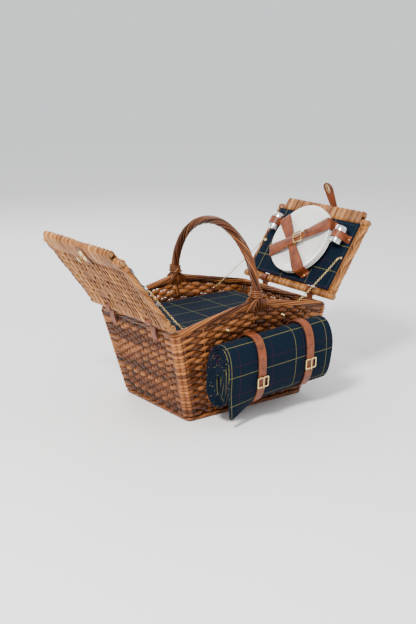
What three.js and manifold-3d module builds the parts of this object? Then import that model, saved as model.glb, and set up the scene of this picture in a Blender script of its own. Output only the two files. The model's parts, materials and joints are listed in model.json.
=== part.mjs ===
// Wicker picnic basket with two lids, a fixed arched handle, a fitted cooler and a rolled blanket
// strapped to its front. Millimetres; +X along the length, +Y to the back, +Z up. The origin is the
// middle of the underside. Both lids are modelled thrown open against their stay chains.
import * as THREE from "three";
import { ConvexGeometry } from "three/addons/geometries/ConvexGeometry.js";
import { mergeVertices } from "three/addons/utils/BufferGeometryUtils.js";
import Module from "manifold-3d";

const wasm = await Module();
wasm.setup();

// Driving dimensions
const GAP = 0.4; // left between neighbouring pieces
const BASE = { x: 200.5, y: 157.3 }; // outer half length and half width at the floor
const RIM = { x: 266.4, y: 188.1 }; // the same at the rim
const RIM_END_HEIGHT = 260.7; // top of the rim at both ends
const RIM_PEAK_HEIGHT = 314.3; // top of the rim at the handle
const RIM_RADIUS = 9;
const FOOT = { height: 12, width: 13.5, corner: 14 };
const BASE_THICKNESS = 10;
const WALL = { inset: 3, thickness: 10 }; // inset from the outer face of the rim and the foot
const POST = { inset: 10, radius: 10.5 };
const HANDLE = { halfSpan: 187, rise: 181, footHeight: 316, radius: 12 };
const BINDING = { radius: 19, low: 284, high: 342, lean: 0.06 };
const BINDING_ROOM = { reach: 30, below: 20, behindWall: 6 }; // cut from the binding for the wall
const LID = {
  hingeX: 273.7,
  hingeZ: 277.2,
  stickRadius: 9.5,
  halfWidth: 195.8,
  length: 243, // from the hinge stick to the free corners
  tongueHalfWidth: 162.4,
  tongueLength: 266.7, // from the hinge stick to the middle of the free edge
  halfThickness: 10,
};
const OPENING = { left: 127, right: 124.4 }; // degrees from level, folded in over the basket
const LINING = { from: 12, to: 224, halfWidth: 174, thickness: 4 };
const HINGE_STRAP = { width: 22, thickness: 2.5, clearance: 0.6, y: 100, tail: 4 };
const HINGE_TAIL = [[270.6, 265.4], [269.3, 252], [266.8, 241], [261.6, 228]]; // X and Z, under the rim
const HINGE_NOTCH = { depth: 16, clearance: 1.5 }; // in the lid's hinge edge
const COOLER = {
  bottom: { x: 180, y: 140, z: 10.6 },
  top: { x: 192, y: 166, z: 229 },
  wall: 8,
  lid: { x: 193, y: 164.5, thickness: 8 },
};
const PLATE = { radius: 108, flat: 64, depth: 11, thickness: 4.2, pitch: 4.6, count: 4 };
const PLATE_CENTRE = { s: 133, y: 3 };
const LEATHER = 2.5; // thickness of the narrow straps
const PLATE_STRAP_WIDTH = 27;
const SHAKER = { radius: 19, length: 56, from: 142, y: 137 };
const LOOP = { width: 22, thickness: 2.2, s: 169, tab: 13 };
const CLASP = { pivot: 268.5, lift: 14, y: 15, length: 83, thickness: 3, slotAt: 63.6, fold: 58 };
const CLASP_WIDTH = { root: 13.5, tip: 19.5 }; // half widths
const CLASP_PLATE = { length: 32, width: 18, thickness: 1.2 };
const SLOT = { length: 23, width: 7.5 };
const LOCK = { s: 228, y: -15, top: 27, post: 2.8 };
const LOCK_PLATE = { length: 36, width: 22, thickness: 2 };
const LOCK_HEAD = { length: 19, width: 6, thickness: 4 };
const ROLL = { from: -154, to: 195, halfDepth: 51, halfHeight: 93.5, middle: 147.6, tilt: 3.5 };
const ROLL_STANDOFF = 6; // between the front wall and the roll
const ROLL_STRAP = { width: 25, inner: 0.5, outer: 3.1 };
const ROLL_STRAP_AT = { left: { x: -52, buckle: -26 }, right: { x: 113, buckle: -16 } };
const BUCKLE = { width: 37, height: 30, wire: 3.2, prong: 1.4 };
const CUTLERY = { length: 200, y: -50, gauge: 14, fork: 52, knife: 112, spoon: 172 };
const CUTLERY_BAND = { from: 20, to: 205, tab: 10, slope: 3, width: 24, y: -90 };
const CHAIN = { radius: 1.6, knob: 3.4, s: 112, y: 166, lift: 6 };
const CHAIN_WALL = { left: { x: -205, z: 244 }, right: { x: 128, z: 254 } };
const CHAIN_TAB = { x: 10, y: 1.3, z: 8 }; // half sizes

// Materials
const willow = (color) => new THREE.MeshStandardMaterial({ color, roughness: 0.6 });
const darkWillow = () => willow(0x8a5a3a);
const goldenWillow = () => willow(0xb88455);
const leather = () => new THREE.MeshStandardMaterial({ color: 0xa35a38, roughness: 0.5 });
const tweed = () => new THREE.MeshStandardMaterial({ color: 0x1b2b40, roughness: 0.95 });
const brass = () => new THREE.MeshStandardMaterial({ color: 0xc9a55a, roughness: 0.3, metalness: 1 });
const steel = () => new THREE.MeshStandardMaterial({ color: 0xc8c8c8, roughness: 0.2, metalness: 1 });
const china = () => new THREE.MeshStandardMaterial({ color: 0xf0efeb, roughness: 0.25 });

// Booleans
const radians = THREE.MathUtils.degToRad;
const xyz = (x, y, z) => new THREE.Vector3(x, y, z);

function solid(geometry) {
  const bare = geometry.clone();
  for (const name of Object.keys(bare.attributes)) {
    if (name !== "position") bare.deleteAttribute(name);
  }
  const merged = mergeVertices(bare, 1e-3);
  const mesh = { numProp: 3, vertProperties: merged.attributes.position.array };
  mesh.triVerts = new Uint32Array(merged.index.array);
  return new wasm.Manifold(new wasm.Mesh(mesh));
}

function geometryOf(manifold) {
  const mesh = manifold.getMesh();
  const geometry = new THREE.BufferGeometry();
  geometry.setAttribute("position", new THREE.BufferAttribute(mesh.vertProperties, 3));
  geometry.setIndex(new THREE.BufferAttribute(mesh.triVerts, 1));
  geometry.computeVertexNormals();
  return geometry;
}

const join = (...pieces) => geometryOf(pieces.map(solid).reduce((all, one) => all.add(one)));
const cut = (piece, ...tools) =>
  geometryOf(tools.map(solid).reduce((all, one) => all.subtract(one), solid(piece)));

// Shapes
function box(low, high) {
  const size = high.clone().sub(low);
  const middle = low.clone().add(high).multiplyScalar(0.5);
  return new THREE.BoxGeometry(size.x, size.y, size.z).translate(middle.x, middle.y, middle.z);
}

function rod(from, to, radius, sides = 8) {
  const along = to.clone().sub(from);
  const turn = new THREE.Quaternion().setFromUnitVectors(xyz(0, 1, 0), along.clone().normalize());
  const middle = from.clone().add(to).multiplyScalar(0.5);
  return new THREE.CylinderGeometry(radius, radius, along.length(), sides)
    .applyQuaternion(turn)
    .translate(middle.x, middle.y, middle.z);
}

function tube(curve, radius, steps, sides) {
  const section = new THREE.Shape().absarc(0, 0, radius, 0, 2 * Math.PI);
  const options = { steps, curveSegments: sides, extrudePath: curve };
  return new THREE.ExtrudeGeometry(section, options);
}

// An outline in X and Z, made width thick along Y about y.
function slice(shape, width, y, curveSegments = 8) {
  const options = { depth: width, bevelEnabled: false, curveSegments };
  return new THREE.ExtrudeGeometry(shape, options).rotateX(Math.PI / 2).translate(0, y + width / 2, 0);
}

// The closed outline of a band of even thickness along a line of [u, v] points.
function band(points, thickness) {
  const line = points.map(([u, v]) => new THREE.Vector2(u, v));
  const sides = [[], []];
  line.forEach((point, i) => {
    const before = point.clone().sub(line[Math.max(i - 1, 0)]).normalize();
    const after = line[Math.min(i + 1, line.length - 1)].clone().sub(point).normalize();
    const along = before.clone().add(after).normalize();
    const normal = new THREE.Vector2(-along.y, along.x);
    const square = i === 0 || i === line.length - 1;
    const reach = thickness / 2 / (square ? 1 : Math.abs(along.dot(after)));
    sides[0].push(point.clone().addScaledVector(normal, reach));
    sides[1].unshift(point.clone().addScaledVector(normal, -reach));
  });
  return new THREE.Shape([...sides[0], ...sides[1]]);
}

function part(parent, name, geometry, material) {
  const mesh = new THREE.Mesh(geometry, material);
  mesh.name = name;
  parent.add(mesh);
  return mesh;
}

// The basket's tapering outer faces
const outerX = (z) => BASE.x + ((RIM.x - BASE.x) * z) / RIM_END_HEIGHT;
const outerY = (z) => BASE.y + ((RIM.y - BASE.y) * z) / RIM_END_HEIGHT;
const WALL_LEAN = (RIM.y - BASE.y) / RIM_END_HEIGHT;
const RIM_SLOPE = (RIM_PEAK_HEIGHT - RIM_END_HEIGHT) / RIM.x;
const rimZ = (x) => RIM_PEAK_HEIGHT - RIM_RADIUS - RIM_SLOPE * Math.abs(x);
const basket = new THREE.Group();

function roundedRectangle(x, y, r) {
  const shape = new THREE.Shape().moveTo(x - r, -y);
  shape.absarc(x - r, r - y, r, -Math.PI / 2, 0).absarc(x - r, y - r, r, 0, Math.PI / 2);
  shape.absarc(r - x, y - r, r, Math.PI / 2, Math.PI).absarc(r - x, r - y, r, Math.PI, 1.5 * Math.PI);
  return shape.closePath();
}

function addBase() {
  const ring = roundedRectangle(BASE.x, BASE.y, FOOT.corner);
  const inner = { x: BASE.x - FOOT.width, y: BASE.y - FOOT.width };
  ring.holes.push(roundedRectangle(inner.x, inner.y, FOOT.corner - FOOT.width / 2));
  const options = { depth: FOOT.height, bevelEnabled: false, curveSegments: 4 };
  part(basket, "foot_border", new THREE.ExtrudeGeometry(ring, options), darkWillow());
  const corner = FOOT.corner - FOOT.width / 2;
  const panel = roundedRectangle(inner.x - GAP, inner.y - GAP, corner);
  const flat = { depth: BASE_THICKNESS, bevelEnabled: false, curveSegments: 4 };
  part(basket, "base_panel", new THREE.ExtrudeGeometry(panel, flat), darkWillow());
}

const postAt = (sx, sy, z) => xyz(sx * (outerX(z) - POST.inset), sy * (outerY(z) - POST.inset), z);

function addWallsAndPosts() {
  const low = FOOT.height + GAP;
  const under = RIM_RADIUS * Math.hypot(1, RIM_SLOPE) + GAP;
  const endClear = POST.inset + POST.radius + GAP;
  const faces = [WALL.inset, WALL.inset + WALL.thickness];
  for (const [name, side] of [["front", -1], ["back", 1]]) {
    const corners = faces.flatMap((inset) => {
      const reach = outerX(low) - endClear;
      const highX = outerX(RIM_END_HEIGHT - 2 * RIM_RADIUS) - endClear;
      const highZ = rimZ(highX) - under;
      const outline = [[-reach, low], [reach, low], [highX, highZ], [0, rimZ(0) - under], [-highX, highZ]];
      return outline.map(([x, z]) => xyz(x, side * (outerY(z) - inset), z));
    });
    part(basket, name + "_wall", new ConvexGeometry(corners), darkWillow());
  }
  const high = RIM_END_HEIGHT - 2 * RIM_RADIUS - GAP;
  for (const [name, side] of [["left", -1], ["right", 1]]) {
    const corners = faces.flatMap((inset) =>
      [low, high].flatMap((z) =>
        [-1, 1].map((end) => xyz(side * (outerX(z) - inset), end * (outerY(z) - endClear), z)),
      ),
    );
    part(basket, name + "_wall", new ConvexGeometry(corners), darkWillow());
  }
  for (const [front, sy] of [["front", -1], ["back", 1]]) {
    for (const [left, sx] of [["left", -1], ["right", 1]]) {
      const post = rod(postAt(sx, sy, low + 1), postAt(sx, sy, high - 1), POST.radius);
      part(basket, `corner_post_${front}_${left}`, post, darkWillow());
    }
  }
}

const rimPoint = (side, x) => {
  const z = rimZ(x);
  return xyz(x, side * (outerY(z + RIM_RADIUS) - RIM_RADIUS), z);
};

function rimTube(side, radius) {
  const path = new THREE.CurvePath();
  path.add(new THREE.LineCurve3(rimPoint(side, -RIM.x), rimPoint(side, 0)));
  path.add(new THREE.LineCurve3(rimPoint(side, 0), rimPoint(side, RIM.x)));
  return tube(path, radius, 4, 10);
}

function addRim() {
  part(basket, "rim_front", rimTube(-1, RIM_RADIUS), darkWillow());
  part(basket, "rim_back", rimTube(1, RIM_RADIUS), darkWillow());
  const reach = RIM.y - 2 * RIM_RADIUS - 1;
  const z = RIM_END_HEIGHT - RIM_RADIUS;
  for (const [name, side] of [["left", -1], ["right", 1]]) {
    const x = side * (RIM.x - RIM_RADIUS);
    const border = rod(xyz(x, -reach, z), xyz(x, reach, z), RIM_RADIUS, 12);
    part(basket, "rim_" + name, border, darkWillow());
  }
}

class HandleArch extends THREE.Curve {
  getPoint(t, target = new THREE.Vector3()) {
    const angle = Math.PI * t;
    const z = HANDLE.footHeight + HANDLE.rise * Math.sin(angle);
    return target.set(0, -HANDLE.halfSpan * Math.cos(angle), z);
  }
}

function addHandle() {
  part(basket, "handle_arch", tube(new HandleArch(), HANDLE.radius, 28, 10), darkWillow());
  const clearance = tube(new HandleArch(), HANDLE.radius + GAP, 28, 10);
  for (const [name, side] of [["front", -1], ["back", 1]]) {
    const foot = (z) => xyz(0, side * (HANDLE.halfSpan - (HANDLE.footHeight - z) * BINDING.lean), z);
    const wrap = rod(foot(BINDING.low), foot(BINDING.high), BINDING.radius, 14);
    const outer = outerY(RIM_PEAK_HEIGHT) - WALL.inset + GAP + 1;
    const inner = outer - WALL.thickness - BINDING_ROOM.behindWall;
    const wallTop = rimZ(0) - RIM_RADIUS;
    const wallRoom = box(
      xyz(-BINDING_ROOM.reach, Math.min(side * inner, side * outer), BINDING.low - BINDING_ROOM.below),
      xyz(BINDING_ROOM.reach, Math.max(side * inner, side * outer), wallTop),
    );
    const rimRoom = rimTube(side, RIM_RADIUS + GAP);
    part(basket, "handle_binding_" + name, cut(wrap, clearance, rimRoom, wallRoom), darkWillow());
  }
}

function addHingeStraps() {
  const inner = LID.stickRadius + HINGE_STRAP.clearance;
  for (const [left, turn] of [["left", Math.PI], ["right", 0]]) {
    const side = new THREE.Group();
    side.rotation.z = turn;
    basket.add(side);
    for (const [front, y] of [["front", -HINGE_STRAP.y], ["back", HINGE_STRAP.y]]) {
      const ring = new THREE.Shape();
      ring.absarc(LID.hingeX, LID.hingeZ, inner + HINGE_STRAP.thickness, 0, 2 * Math.PI);
      ring.holes.push(new THREE.Path().absarc(LID.hingeX, LID.hingeZ, inner, 0, 2 * Math.PI));
      const tail = band(HINGE_TAIL, HINGE_STRAP.tail);
      const at = turn ? -y : y;
      const loop = join(slice(ring, HINGE_STRAP.width, at, 16), slice(tail, HINGE_STRAP.width, at));
      part(side, `hinge_strap_${left}_${front}`, loop, leather());
    }
  }
}

function addCooler() {
  const { bottom, top, wall, lid } = COOLER;
  const shell = (inset, low, high) =>
    new ConvexGeometry(
      [[bottom, low], [top, high]].flatMap(([at, z]) =>
        [-1, 1].flatMap((sx) => [-1, 1].map((sy) => xyz(sx * (at.x - inset), sy * (at.y - inset), z))),
      ),
    );
  const tub = cut(shell(0, bottom.z, top.z), shell(wall, bottom.z + wall, top.z + 1));
  part(basket, "cooler_tub", tub, tweed());
  const low = top.z + GAP;
  const cover = box(xyz(-lid.x, -lid.y, low), xyz(lid.x, lid.y, low + lid.thickness));
  part(basket, "cooler_lid", cover, tweed());
}

// A lid's own frame: X from the hinge stick to the free edge, Z out of the outer face.
function lidFrame(name) {
  const side = new THREE.Group();
  side.rotation.z = name === "right" ? Math.PI : 0;
  const lid = new THREE.Group();
  lid.position.set(-LID.hingeX, 0, LID.hingeZ);
  lid.rotation.y = -radians(OPENING[name]);
  side.add(lid);
  basket.add(side);
  return lid;
}

function lidPanel() {
  const start = LID.stickRadius + 0.7;
  const notch = { depth: HINGE_NOTCH.depth, half: HINGE_STRAP.width / 2 + HINGE_NOTCH.clearance };
  const { y } = HINGE_STRAP;
  const edge = [[start, -LID.halfWidth], [LID.length, -LID.halfWidth], [LID.length, -LID.tongueHalfWidth]];
  edge.push([LID.tongueLength, -LID.tongueHalfWidth], [LID.tongueLength, LID.tongueHalfWidth]);
  edge.push([LID.length, LID.tongueHalfWidth], [LID.length, LID.halfWidth], [start, LID.halfWidth]);
  for (const middle of [y, -y]) {
    edge.push([start, middle + notch.half], [notch.depth, middle + notch.half]);
    edge.push([notch.depth, middle - notch.half], [start, middle - notch.half]);
  }
  const outline = new THREE.Shape(edge.map(([s, t]) => new THREE.Vector2(s, t)));
  const options = { depth: 2 * LID.halfThickness, bevelEnabled: false };
  return new THREE.ExtrudeGeometry(outline, options).translate(0, 0, -LID.halfThickness);
}

const LINING_FACE = -(LID.halfThickness + GAP + LINING.thickness);

function addLid(name) {
  const lid = lidFrame(name);
  const stick = rod(xyz(0, -LID.halfWidth, 0), xyz(0, LID.halfWidth, 0), LID.stickRadius, 14);
  part(lid, name + "_lid_hinge_stick", stick, goldenWillow());
  part(lid, name + "_lid_panel", lidPanel(), goldenWillow());
  const low = xyz(LINING.from, -LINING.halfWidth, LINING_FACE);
  const high = xyz(LINING.to, LINING.halfWidth, LINING_FACE + LINING.thickness);
  part(lid, name + "_lid_lining", box(low, high), tweed());
  return lid;
}

function addPlates(lid) {
  const { radius, flat, depth, thickness, pitch, count } = PLATE;
  const under = [[0, 0], [flat, 0], [flat + 5, 2], [radius, depth]];
  const over = [[radius, depth + thickness], [flat + 5, 2 + thickness], [flat, thickness], [0, thickness]];
  const profile = [...under, ...over].map(([r, z]) => new THREE.Vector2(r, z));
  for (let i = 0; i < count; i++) {
    const plate = new THREE.LatheGeometry(profile, 32).rotateX(-Math.PI / 2);
    const z = LINING_FACE - GAP - i * pitch;
    part(lid, `plate_${i + 1}`, plate.translate(PLATE_CENTRE.s, PLATE_CENTRE.y, z), china());
  }
}

const STACK_TOP = PLATE.depth + PLATE.thickness + (PLATE.count - 1) * PLATE.pitch;

// A strap over the plates: angle is its direction in the lid, offset its distance from the plates' middle.
function plateStrapFrame(lid, angle, offset) {
  const frame = new THREE.Group();
  frame.position.set(PLATE_CENTRE.s, PLATE_CENTRE.y, LINING_FACE);
  frame.rotation.z = radians(angle);
  const middle = new THREE.Group();
  middle.position.y = offset;
  frame.add(middle);
  lid.add(frame);
  return middle;
}

function plateStrap(lift, offset, end) {
  const nearest = Math.max(0, offset - PLATE_STRAP_WIDTH / 2);
  const half = Math.sqrt(PLATE.radius ** 2 - nearest ** 2) + LEATHER / 2 + 2 * GAP;
  const low = -(LEATHER / 2 + GAP);
  const high = -(GAP + STACK_TOP + GAP + LEATHER / 2 + lift);
  const line = [[-half - end, low], [-half, low], [-half, high]];
  line.push([half, high], [half, low], [half + end, low]);
  return slice(band(line, LEATHER), PLATE_STRAP_WIDTH, 0);
}

const STRAP_A = { angle: 55.3, offset: 0, lift: LEATHER + GAP };
const STRAP_B = { angle: 133.3, offset: 30, lift: 0 };

function addPlateStraps(lid) {
  const long = plateStrapFrame(lid, STRAP_A.angle, STRAP_A.offset);
  part(long, "plate_strap_long", plateStrap(STRAP_A.lift, STRAP_A.offset, 10), leather());
  const cross = plateStrapFrame(lid, STRAP_B.angle, STRAP_B.offset);
  part(cross, "plate_strap_cross", plateStrap(STRAP_B.lift, STRAP_B.offset, 10), leather());
  const buckle = new THREE.Group();
  buckle.position.set(-2, 0, -(GAP + STACK_TOP + GAP + STRAP_A.lift + LEATHER + GAP));
  buckle.rotation.set(Math.PI, 0, -Math.PI / 2);
  long.add(buckle);
  addBuckle(buckle, "plate_buckle", "plate_prong");
}

// A buckle lying in X and Y with its prong on top, hinged at the +Y bar.
function addBuckle(frame, buckleName, prongName) {
  const { width, height, wire, prong } = BUCKLE;
  const ring = roundedRectangle(width / 2, height / 2, 4);
  ring.holes.push(roundedRectangle(width / 2 - wire, height / 2 - wire, 1.5));
  const options = { depth: wire, bevelEnabled: false, curveSegments: 3 };
  part(frame, buckleName, new THREE.ExtrudeGeometry(ring, options), brass());
  const z = wire + GAP + prong;
  const pin = rod(xyz(0, height / 2 + 0.5, z), xyz(0, -height / 2 - 1, z), prong);
  part(frame, prongName, pin, brass());
}

function addShakers(lid) {
  const height = LINING_FACE - 0.7 - SHAKER.radius;
  const { radius, length, from } = SHAKER;
  const end = from + length;
  const profile = [[0, from], [radius - 1.5, from], [radius, from + 1.5], [radius, end - 19]];
  profile.push([radius - 1, end - 18], [radius - 1, end - 17], [radius, end - 16]);
  profile.push([radius, end - 3], [radius - 4, end], [0, end]);
  for (const [name, y] of [["salt", SHAKER.y], ["pepper", -SHAKER.y + 1]]) {
    const shaker = new THREE.LatheGeometry(profile.map(([r, z]) => new THREE.Vector2(r, z)), 20);
    shaker.rotateZ(-Math.PI / 2).translate(0, y, height);
    part(lid, name + "_shaker", shaker, steel());
    part(lid, name + "_loop", shakerLoop(y, height), leather());
  }
}

// A strap bent over a shaker that lies along X at (y, height), with a riveted tab on the outer side.
function shakerLoop(y, height) {
  const radius = SHAKER.radius + GAP + LOOP.thickness / 2;
  const floor = LINING_FACE - GAP - LOOP.thickness / 2;
  const out = Math.sign(y);
  const line = [[out * (radius + LOOP.tab), floor], [out * radius, floor], [out * radius, height]];
  const steps = 8;
  for (let i = 1; i < steps; i++) {
    const angle = (Math.PI * i) / steps;
    line.push([out * radius * Math.cos(angle), height - radius * Math.sin(angle)]);
  }
  line.push([-out * radius, height], [-out * radius, floor]);
  const options = { depth: LOOP.width, bevelEnabled: false };
  const loop = new THREE.ExtrudeGeometry(band(line, LOOP.thickness), options);
  // the outline's X becomes the lid's Y, and its Y becomes the lid's Z
  const turn = new THREE.Matrix4().makeBasis(xyz(0, 1, 0), xyz(0, 0, 1), xyz(1, 0, 0));
  return loop.applyMatrix4(turn).translate(LOOP.s - LOOP.width / 2, y, 0);
}

function slotPath() {
  const half = (SLOT.length - SLOT.width) / 2;
  const r = SLOT.width / 2;
  const path = new THREE.Path().absarc(CLASP.slotAt + half, 0, r, -Math.PI / 2, Math.PI / 2);
  return path.absarc(CLASP.slotAt - half, 0, r, Math.PI / 2, 1.5 * Math.PI).closePath();
}

function addClasp(lid) {
  const frame = new THREE.Group();
  frame.position.set(CLASP.pivot, CLASP.y, CLASP.lift);
  frame.rotation.y = radians(CLASP.fold);
  lid.add(frame);
  const { root, tip } = CLASP_WIDTH;
  const strap = new THREE.Shape().moveTo(1, -root).lineTo(CLASP.length - tip, -tip);
  strap.absarc(CLASP.length - tip, 0, tip, -Math.PI / 2, Math.PI / 2).lineTo(1, root).closePath();
  strap.holes.push(slotPath());
  const flat = { depth: CLASP.thickness, bevelEnabled: false, curveSegments: 8 };
  const body = new THREE.ExtrudeGeometry(strap, flat).translate(0, 0, -CLASP.thickness / 2);
  part(frame, "clasp_strap", body, leather());
  const { length, width, thickness } = CLASP_PLATE;
  const oval = new THREE.Shape().absellipse(CLASP.slotAt, 0, length / 2, width / 2, 0, 2 * Math.PI);
  oval.holes.push(slotPath());
  const thin = { depth: thickness, bevelEnabled: false, curveSegments: 12 };
  const plate = new THREE.ExtrudeGeometry(oval, thin).translate(0, 0, CLASP.thickness / 2 + GAP);
  part(frame, "clasp_plate", plate, brass());
}

function addLock(lid) {
  const face = LID.halfThickness + GAP;
  const { s, y, top } = LOCK;
  const oval = new THREE.Shape();
  oval.absellipse(s, y, LOCK_PLATE.length / 2, LOCK_PLATE.width / 2, 0, 2 * Math.PI);
  const thin = { depth: LOCK_PLATE.thickness, bevelEnabled: false, curveSegments: 12 };
  part(lid, "lock_plate", new THREE.ExtrudeGeometry(oval, thin).translate(0, 0, face), brass());
  const half = { s: LOCK_HEAD.length / 2, y: LOCK_HEAD.width / 2 };
  const foot = xyz(s, y, face + LOCK_PLATE.thickness + GAP);
  const post = rod(foot, xyz(s, y, top - LOCK_HEAD.thickness / 2), LOCK.post);
  const head = box(xyz(s - half.s, y - half.y, top - LOCK_HEAD.thickness), xyz(s + half.s, y + half.y, top));
  part(lid, "turn_button", join(post, head), brass());
}

function addCutlery(lid) {
  const top = LINING_FACE - GAP;
  const row = (s, name, outline) => {
    const shape = new THREE.Shape(outline.map(([y, w]) => new THREE.Vector2(w, y)));
    const options = { depth: CUTLERY.gauge, bevelEnabled: false };
    const stack = new THREE.ExtrudeGeometry(shape, options).translate(s, CUTLERY.y, top - CUTLERY.gauge);
    part(lid, name, stack, steel());
  };
  const half = CUTLERY.length / 2;
  const mirrored = (side) => [...side, ...side.map(([y, w]) => [y, -w]).reverse()];
  const neck = mirrored([[half, 9], [half - 40, 12], [half - 62, 4], [10, 4], [-half, 9]]);
  const head = mirrored([[half, 10], [half - 35, 15], [half - 60, 9], [half - 70, 4], [10, 4], [-half, 9]]);
  const blade = mirrored([[half, 3], [half - 25, 9.5], [5, 9.5], [0, 6], [-half, 9]]);
  row(CUTLERY.fork, "fork_stack", neck);
  row(CUTLERY.knife, "knife_stack", blade);
  row(CUTLERY.spoon, "spoon_stack", head);
  const high = top - CUTLERY.gauge - GAP - LEATHER / 2;
  const low = top - LEATHER / 2;
  const { from, to, tab, slope, width, y } = CUTLERY_BAND;
  const line = [[from, low], [from + tab, low], [from + tab + slope, high]];
  line.push([to - tab - slope, high], [to - tab, low], [to, low]);
  const strap = slice(band(line, LEATHER), width, y);
  part(lid, "cutlery_band", strap, leather());
}

// A stay chain, with its leather tab on the inside of the wall and its ring on the lid's lining.
function addChain(name, side) {
  const sx = name === "right" ? 1 : -1;
  const open = radians(OPENING[name]);
  const off = -LINING_FACE + CHAIN.lift;
  const lidEnd = xyz(
    sx * (LID.hingeX - CHAIN.s * Math.cos(open) - off * Math.sin(open)),
    side * CHAIN.y,
    LID.hingeZ + CHAIN.s * Math.sin(open) - off * Math.cos(open),
  );
  const { x, z } = CHAIN_WALL[name];
  const wallEnd = xyz(x, side * (outerY(z) - WALL.inset - WALL.thickness - 2 * CHAIN_TAB.y), z);
  const half = xyz(CHAIN_TAB.x, CHAIN_TAB.y, CHAIN_TAB.z);
  const tab = box(wallEnd.clone().sub(half), wallEnd.clone().add(half));
  const knob = new THREE.SphereGeometry(CHAIN.knob, 8, 6).translate(lidEnd.x, lidEnd.y, lidEnd.z);
  const eye = wallEnd.clone().sub(xyz(0, side * 2, 0));
  const chain = join(rod(eye, lidEnd, CHAIN.radius, 6), tab, knob);
  part(basket, `chain_${name}_${side < 0 ? "front" : "back"}`, chain, brass());
}

// The blanket roll's frame: X along the roll, tilted up to the right.
const ROLL_MIDDLE = xyz(
  (ROLL.from + ROLL.to) / 2,
  -(outerY(ROLL.middle) - WALL.inset + ROLL_STANDOFF + ROLL.halfDepth),
  ROLL.middle,
);

// The roll's section, sheared to lean with the wall, grown by extra all round.
function rollOutline(extra) {
  const points = [];
  const count = 36;
  const power = 2 / 2.5;
  for (let i = 0; i < count; i++) {
    const angle = (2 * Math.PI * i) / count;
    const [c, s] = [Math.cos(angle), Math.sin(angle)];
    const z = (ROLL.halfHeight + extra) * Math.sign(s) * Math.abs(s) ** power;
    const y = (ROLL.halfDepth + extra) * Math.sign(c) * Math.abs(c) ** power;
    points.push(new THREE.Vector2(y - WALL_LEAN * z, z));
  }
  return points;
}

// An outline in Y and Z, made width thick along X about x.
function acrossRoll(shape, width, x) {
  const turn = new THREE.Matrix4().makeBasis(xyz(0, 1, 0), xyz(0, 0, 1), xyz(1, 0, 0));
  const options = { depth: width, bevelEnabled: false };
  return new THREE.ExtrudeGeometry(shape, options).applyMatrix4(turn).translate(x - width / 2, 0, 0);
}

function addBlanket() {
  const roll = new THREE.Group();
  roll.position.copy(ROLL_MIDDLE);
  roll.rotation.y = -radians(ROLL.tilt);
  basket.add(roll);
  const length = ROLL.to - ROLL.from;
  part(roll, "picnic_blanket", acrossRoll(new THREE.Shape(rollOutline(0)), length, 0), tweed());
  for (const [name, { x, buckle: z }] of Object.entries(ROLL_STRAP_AT)) {
    const along = (x - ROLL_MIDDLE.x) / Math.cos(radians(ROLL.tilt));
    const ring = new THREE.Shape(rollOutline(ROLL_STRAP.outer));
    ring.holes.push(new THREE.Path(rollOutline(ROLL_STRAP.inner)));
    part(roll, "blanket_strap_" + name, acrossRoll(ring, ROLL_STRAP.width, along), leather());
    const buckle = new THREE.Group();
    const front = -(ROLL.halfDepth + ROLL_STRAP.outer + GAP) - WALL_LEAN * z;
    buckle.position.set(along, front, z);
    buckle.rotation.x = Math.PI / 2 + Math.atan(WALL_LEAN);
    roll.add(buckle);
    addBuckle(buckle, "blanket_buckle_" + name, "blanket_prong_" + name);
  }
}

addBase();
addWallsAndPosts();
addRim();
addHandle();
addHingeStraps();
addCooler();
const leftLid = addLid("left");
addLock(leftLid);
addCutlery(leftLid);
const rightLid = addLid("right");
addPlates(rightLid);
addPlateStraps(rightLid);
addShakers(rightLid);
addClasp(rightLid);
for (const side of [-1, 1]) {
  addChain("left", side);
  addChain("right", side);
}
addBlanket();

export default basket;
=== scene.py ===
import json
import math
from itertools import product

import bmesh
import bpy
import numpy as np
from mathutils import Matrix, Vector


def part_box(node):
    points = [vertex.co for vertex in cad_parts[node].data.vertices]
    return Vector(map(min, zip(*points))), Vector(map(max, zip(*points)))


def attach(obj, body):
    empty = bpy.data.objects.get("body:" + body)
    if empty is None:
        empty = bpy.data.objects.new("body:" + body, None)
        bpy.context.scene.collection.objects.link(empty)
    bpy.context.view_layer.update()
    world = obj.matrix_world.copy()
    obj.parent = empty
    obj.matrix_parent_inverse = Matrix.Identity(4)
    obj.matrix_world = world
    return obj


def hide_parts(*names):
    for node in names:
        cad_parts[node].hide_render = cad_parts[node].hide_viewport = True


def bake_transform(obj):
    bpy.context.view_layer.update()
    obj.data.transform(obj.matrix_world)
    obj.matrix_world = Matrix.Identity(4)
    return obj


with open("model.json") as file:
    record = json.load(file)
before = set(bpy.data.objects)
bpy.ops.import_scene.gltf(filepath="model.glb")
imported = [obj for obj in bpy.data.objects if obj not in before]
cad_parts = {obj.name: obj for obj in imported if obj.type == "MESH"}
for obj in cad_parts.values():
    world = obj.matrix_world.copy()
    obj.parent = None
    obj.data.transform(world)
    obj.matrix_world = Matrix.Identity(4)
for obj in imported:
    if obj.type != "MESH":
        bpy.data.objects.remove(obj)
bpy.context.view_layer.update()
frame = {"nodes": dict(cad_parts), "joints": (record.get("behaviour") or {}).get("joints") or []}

MM = 0.001
UP, DOWN = (0, 0, 1), np.array((0, 0, -1.0))

# ---------------------------------------------------------------------------------------------
# The camera, the light and the floor
# ---------------------------------------------------------------------------------------------
CAMERA_PLACE = (-1.6684, -2.2242, 0.9925)
CAMERA_BACK = (-0.57468, -0.77511, 0.26259)  # from what it looks at towards the camera
CAMERA_LENS = 59.23  # millimetres, on the 36 mm side
FLOOR_SIZE = 12.0
SKY = (0.96, 0.98, 1.0, 1.0)


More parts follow.
